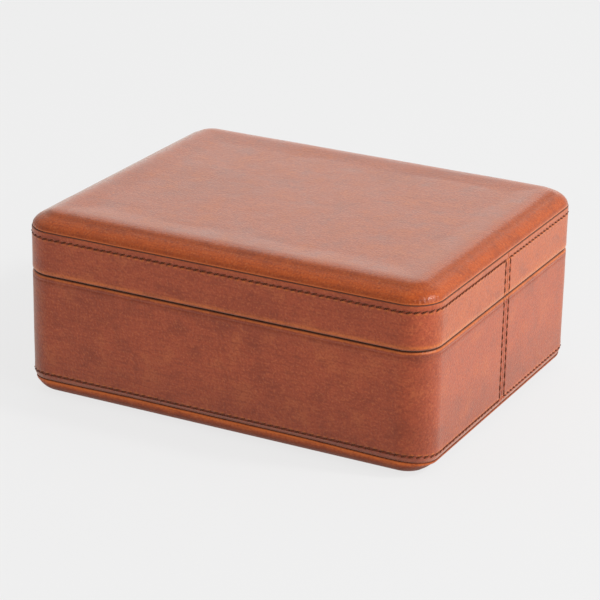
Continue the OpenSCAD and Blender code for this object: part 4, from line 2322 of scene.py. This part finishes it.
@dataclass
class LidCase(Case):
    """Side wraps, formed top, sewing and lining of the lid."""

    body: str = "lid"
    way_in: int = 1
    rim: float = 75.1
    fold: float = 83.1
    row: float = 97.8
    back_cut: float = 90.0
    lining_foot: float = 99.5
    pad_node: str = "lid_pad"
    pad_flat: float = 99.45
    seam: float = 101.5
    seam_gap: float = 0.05
    seam_r: float = 0.5
    crown: float = 8.8
    crown_set: float = 0.5
    crown_end: float = 18.5
    crown_steps: int = 18
    flange_foot: float = 95.5
    side_cuts: tuple[float, ...] = (92.0, 89.0, 86.0, 83.0, 80.5, 78.5)
    # Painted highlight on the lid's lower edge, just above the gap
    rim_highlight: Line = Line(1.05, 0.9, 77.2)
    rim_highlight_out: Fade = Fade(1.0, 0.3)
    rim_from: Fade = Fade(77.4, 76.8)
    rim_behind: Fade = Fade(0.3, 0.9)
    # Painted highlight on the rounded top edge of the side leather, below the seam
    seam_highlight: Line = Line(0.35, 0.5, -0.8)
    # The ends of the lid's side leather are made a little lighter
    end_lightening: float = 0.3
    end_lightening_past: float = 4.0
    row_shade: Line = Line(0.08, 1.3)
    # Painted shade along the top edge of the side leather, at the seam
    seam_shade: Fade = Fade(-0.35, 0.0, 0.85)
    hidden_wear: tuple[float, float] = (0.3, 0.3)
    crown_wear: Fade = Fade(18.0, 8.0)
    # Painted highlight on the lip of the roll, just above the seam
    lip_highlight: Line = Line(0.8, 0.4, 0.7)
    # Painted shade at the very bottom of the roll, in the seam
    lip_shade: Fade = Fade(0.45, 0.15, 0.9)
    # Painted shade a little above the seam, toning down the reflections there
    over_lip: Line = Line(0.22, 0.9, 2.3)
    # A darker band along the middle of the roll
    crown_darkening: Line = Line(0.22, 3.2, 9.5)

    def wrap_outline(self) -> Outline:
        """Lists the outline of the side leather, down the outside, over the rim and back.

        Returns:
            Points as (inset, height).
        """
        row, edge_r = self.row, self.seam_r
        sides = [*[row - z for z in self.row_cuts], *self.side_cuts]
        return [
            (self.leather, self.seam),
            (0.9, self.seam),
            *arc((edge_r, self.seam - edge_r), (edge_r, edge_r), (90, 180), 4),
            (0.0, self.seam - 1.2),
            (0.0, row + 1.9),
            (0.0, row + 1.2),
            *self.groove(),
            *[(0.0, z) for z in sides],
            *self.turned_in(),
        ]

    def wrap_paint(self, place: PlanPlace, point: Vector) -> tuple[float, float]:
        """Paints the side leather: painted highlights along the lower edge, under the seam and
        between stitches, lighter ends, and painted shade in the grooves, at the seam and in the
        gap.

        Args:
            place: Place on the plan.
            point: The point in millimetres.

        Returns:
            Rub and soil.
        """
        z, run, inset = point.z, place.run, place.inset
        from_end = self.plan.from_end(run)
        mid_corner = self.plan.reach_y + self.plan.turn / 2
        straight = self.plan.reach_y - self.end_lightening_past
        rub = self.rim_highlight.at(z) * self.rim_highlight_out.at(inset)
        rub += self.rows.bulge(self.plan, run) * self.stitch_highlight.at(self.row - z)
        rub += self.seam_highlight.at(z - self.seam)
        rub += self.end_lightening * smooth(mid_corner, straight, from_end)
        soil = self.row_dye_and_shade.at(z - self.row) + self.row_shade.at(z - self.row)
        soil += self.seam_shade.at(z - self.seam)
        soil += self.shade_in_rim(inset, self.rim_behind) * self.rim_from.at(z)
        if z < self.row:
            soil += self.end_row_dye_and_shade.at(from_end)
        soil += self.butt_dirt.at(from_end)
        return rub, min(self.darkest, soil)

    def shell_outline(self) -> Outline:
        """Lists the outline of the formed top, from its flat out over the crown and back.

        Returns:
            Points as (inset, height).
        """
        flat = self.seam + self.crown
        lower = self.seam + self.seam_gap
        behind = self.leather + self.seam_gap
        deep = self.leather + self.flange
        outer = (self.crown_end - self.crown_set, self.crown - self.seam_gap)
        inner = (self.crown_end - deep, self.crown - self.leather)
        return [
            (self.plan.corner, flat),
            *arc((self.crown_end, lower), outer, (90, 176), self.crown_steps),
            (self.crown_set + 0.35, lower),
            (behind, lower),
            (behind, self.flange_foot),
            (deep, self.flange_foot),
            *arc((self.crown_end, self.seam), inner, (180, 90), 8),
            (self.plan.corner, flat - self.leather),
        ]

    def shell_paint(self, place: PlanPlace, point: Vector) -> tuple[float, float]:
        """Paints the formed top: a worn orange roll with a darker band along it, a painted
        highlight on its lip, and painted shade at the seam and just above it.

        Args:
            place: Place on the plan.
            point: The point in millimetres.

        Returns:
            Rub and soil.
        """
        over = point.z - self.seam
        if over < 0:
            return self.hidden_wear
        rub = self.crown_wear.at(place.inset) + self.lip_highlight.at(over)
        soil = self.lip_shade.at(over) + self.over_lip.at(over)
        return rub, soil + self.crown_darkening.at(place.inset)

    def build_formed(self) -> None:
        """Builds the wet-formed top leather."""
        piece = FormedShell(
            "lid_formed_leather",
            self.shell_outline(),
            self.plan,
            cells=(111, 88),
            turn_steps=44,
            ridge=self.seam,
        ).build()
        paint_wear_and_light(piece, self.plan, self.shell_paint)
        smooth_faces(piece, LEATHER_FOLD)
        dress(piece, self.finishes.formed, self.body, "lid_top_leather")


# Studio


@dataclass
class Carcass:
    """The wooden walls and boards and the brass hinges, which keep their CAD shapes."""

    nodes: dict[str, Piece]
    finishes: Finishes
    boards: tuple[str, ...] = ("_board", "_rail")
    brasses: tuple[str, ...] = ("hinge_",)

    def build(self) -> None:
        """Gives every board and every hinge part its material."""
        for name, piece in self.nodes.items():
            if name.endswith(self.boards):
                self.finish(piece, self.finishes.board)
            elif any(word in name for word in self.brasses):
                self.finish(piece, self.finishes.brass)

    def finish(self, piece: Piece, material: Material) -> None:
        """Puts one material in every slot of a piece.

        Args:
            piece: The CAD node's object.
            material: The material that it gets.
        """
        for slot in piece.material_slots:
            slot.material = material
        log.info("%s: %s", piece.name, material.name)


@dataclass(frozen=True)
class SoftBox:
    """A square area light aimed at the box, placed by a direction and a distance."""

    name: str
    towards: tuple[float, float, float]
    distance: float
    side: float
    watts: float

    def hang(self, aim: Vector) -> None:
        """Adds the light to the scene.

        Args:
            aim: The point that it shines at, in metres.
        """
        light = bpy.data.lights.new(self.name, "AREA")
        light.shape = "SQUARE"
        light.size = self.side
        light.energy = self.watts
        lamp = bpy.data.objects.new(self.name, light)
        direction = Vector(self.towards).normalized()
        lamp.location = aim + direction * self.distance
        lamp.rotation_euler = direction.to_track_quat("Z", "Y").to_euler()
        lamp.visible_camera = False
        bpy.context.collection.objects.link(lamp)


@dataclass
class Studio:
    """Camera, paper floor and soft light."""

    lens: float = 150.151
    yaw: float = 27.2955
    pitch: float = 21.2961
    roll: float = 1.0417
    distance: float = 1.48403
    shift: tuple[float, float] = (-0.0018164, -0.0045956)
    target: float = 0.052
    sensor: float = 36.0
    view_end: float = 50.0
    floor_r: float = 6.0
    floor_sides: int = 96
    floor_edge: float = 20.0
    floor_gap: float = 0.0002
    sky: float = 0.5
    lights: tuple[SoftBox, ...] = (
        SoftBox("right_softbox", (0.9, 0.0, 0.40), 3.0, 3.0, 80),
        SoftBox("rear_softbox", (-0.42, 0.84, 0.32), 3.2, 2.2, 15),
        SoftBox("rear_fill", (-0.42, 0.84, 0.48), 3.4, 3.2, 5),
        SoftBox("corner_softbox", (0.717, 0.144, 0.681), 2.4, 0.24, 22),
    )

    def build(self) -> None:
        """Sets up the camera, the floor, the sky and the lights."""
        self.place_camera()
        self.lay_floor()
        self.light_sky()
        for box in self.lights:
            box.hang(Vector((0, 0, self.target)))
        bpy.context.scene.view_settings.view_transform = "Standard"

    def place_camera(self) -> None:
        """Places the camera at the photograph's viewing angle."""
        turn, rise, lean = (math.radians(v) for v in (self.yaw, self.pitch, self.roll))
        back = Vector(
            (
                math.sin(turn) * math.cos(rise),
                -math.cos(turn) * math.cos(rise),
                math.sin(rise),
            )
        )
        right = (-back).cross(Vector((0, 0, 1))).normalized()
        up = right.cross(-back)
        leaned = math.cos(lean) * right + math.sin(lean) * up
        upright = -math.sin(lean) * right + math.cos(lean) * up
        camera = bpy.data.objects.new("camera", bpy.data.cameras.new("camera"))
        camera.data.lens = self.lens
        camera.data.sensor_width = self.sensor
        camera.data.clip_end = self.view_end
        spot = back * self.distance + leaned * self.shift[0] + upright * self.shift[1]
        spot.z += self.target
        axes = Matrix((leaned, upright, back)).transposed().to_4x4()
        camera.matrix_world = Matrix.Translation(spot) @ axes
        bpy.context.collection.objects.link(camera)
        bpy.context.scene.camera = camera

    def lay_floor(self) -> None:
        """Lays a round sheet of studio paper with a turned-down edge."""
        floor = new_from(
            bpy.ops.mesh.primitive_circle_add,
            "studio_paper",
            vertices=self.floor_sides,
            radius=self.floor_r,
            fill_type="NGON",
            location=(0, 0, -self.floor_gap),
        )
        with editing(floor):
            bpy.ops.mesh.select_mode(type="FACE")
            bpy.ops.mesh.select_all(action="SELECT")
            bpy.ops.mesh.inset(thickness=self.floor_r / 2)
            pick(floor, Part.EDGE, lambda e: e.is_boundary)
            extrude(Part.EDGE, (0, 0, -self.floor_edge))
        floor.data.materials.append(StudioPaper("seamless_studio_paper").make())

    def light_sky(self) -> None:
        """Lights the scene evenly from all round."""
        world = bpy.data.worlds.new("studio_air")
        world.use_nodes = True
        tree = world.node_tree
        tree.nodes.clear()
        light = add_node(
            tree,
            "ShaderNodeBackground",
            inputs={"Color": (1.0, 1.0, 1.0, 1.0), "Strength": self.sky},
        ).outputs["Background"]
        add_node(tree, "ShaderNodeOutputWorld", inputs={"Surface": light})
        bpy.context.scene.world = world


def main() -> None:
    """Builds the box round the frame."""
    logging.basicConfig(level=logging.INFO, format="%(message)s")
    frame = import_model()
    plan = BoxPlan()
    finishes = Finishes()
    Studio().build()
    BaseCase(plan, finishes).build()
    LidCase(plan, finishes).build()
    Carcass(frame["nodes"], finishes).build()


if __name__ == "__main__":
    main()
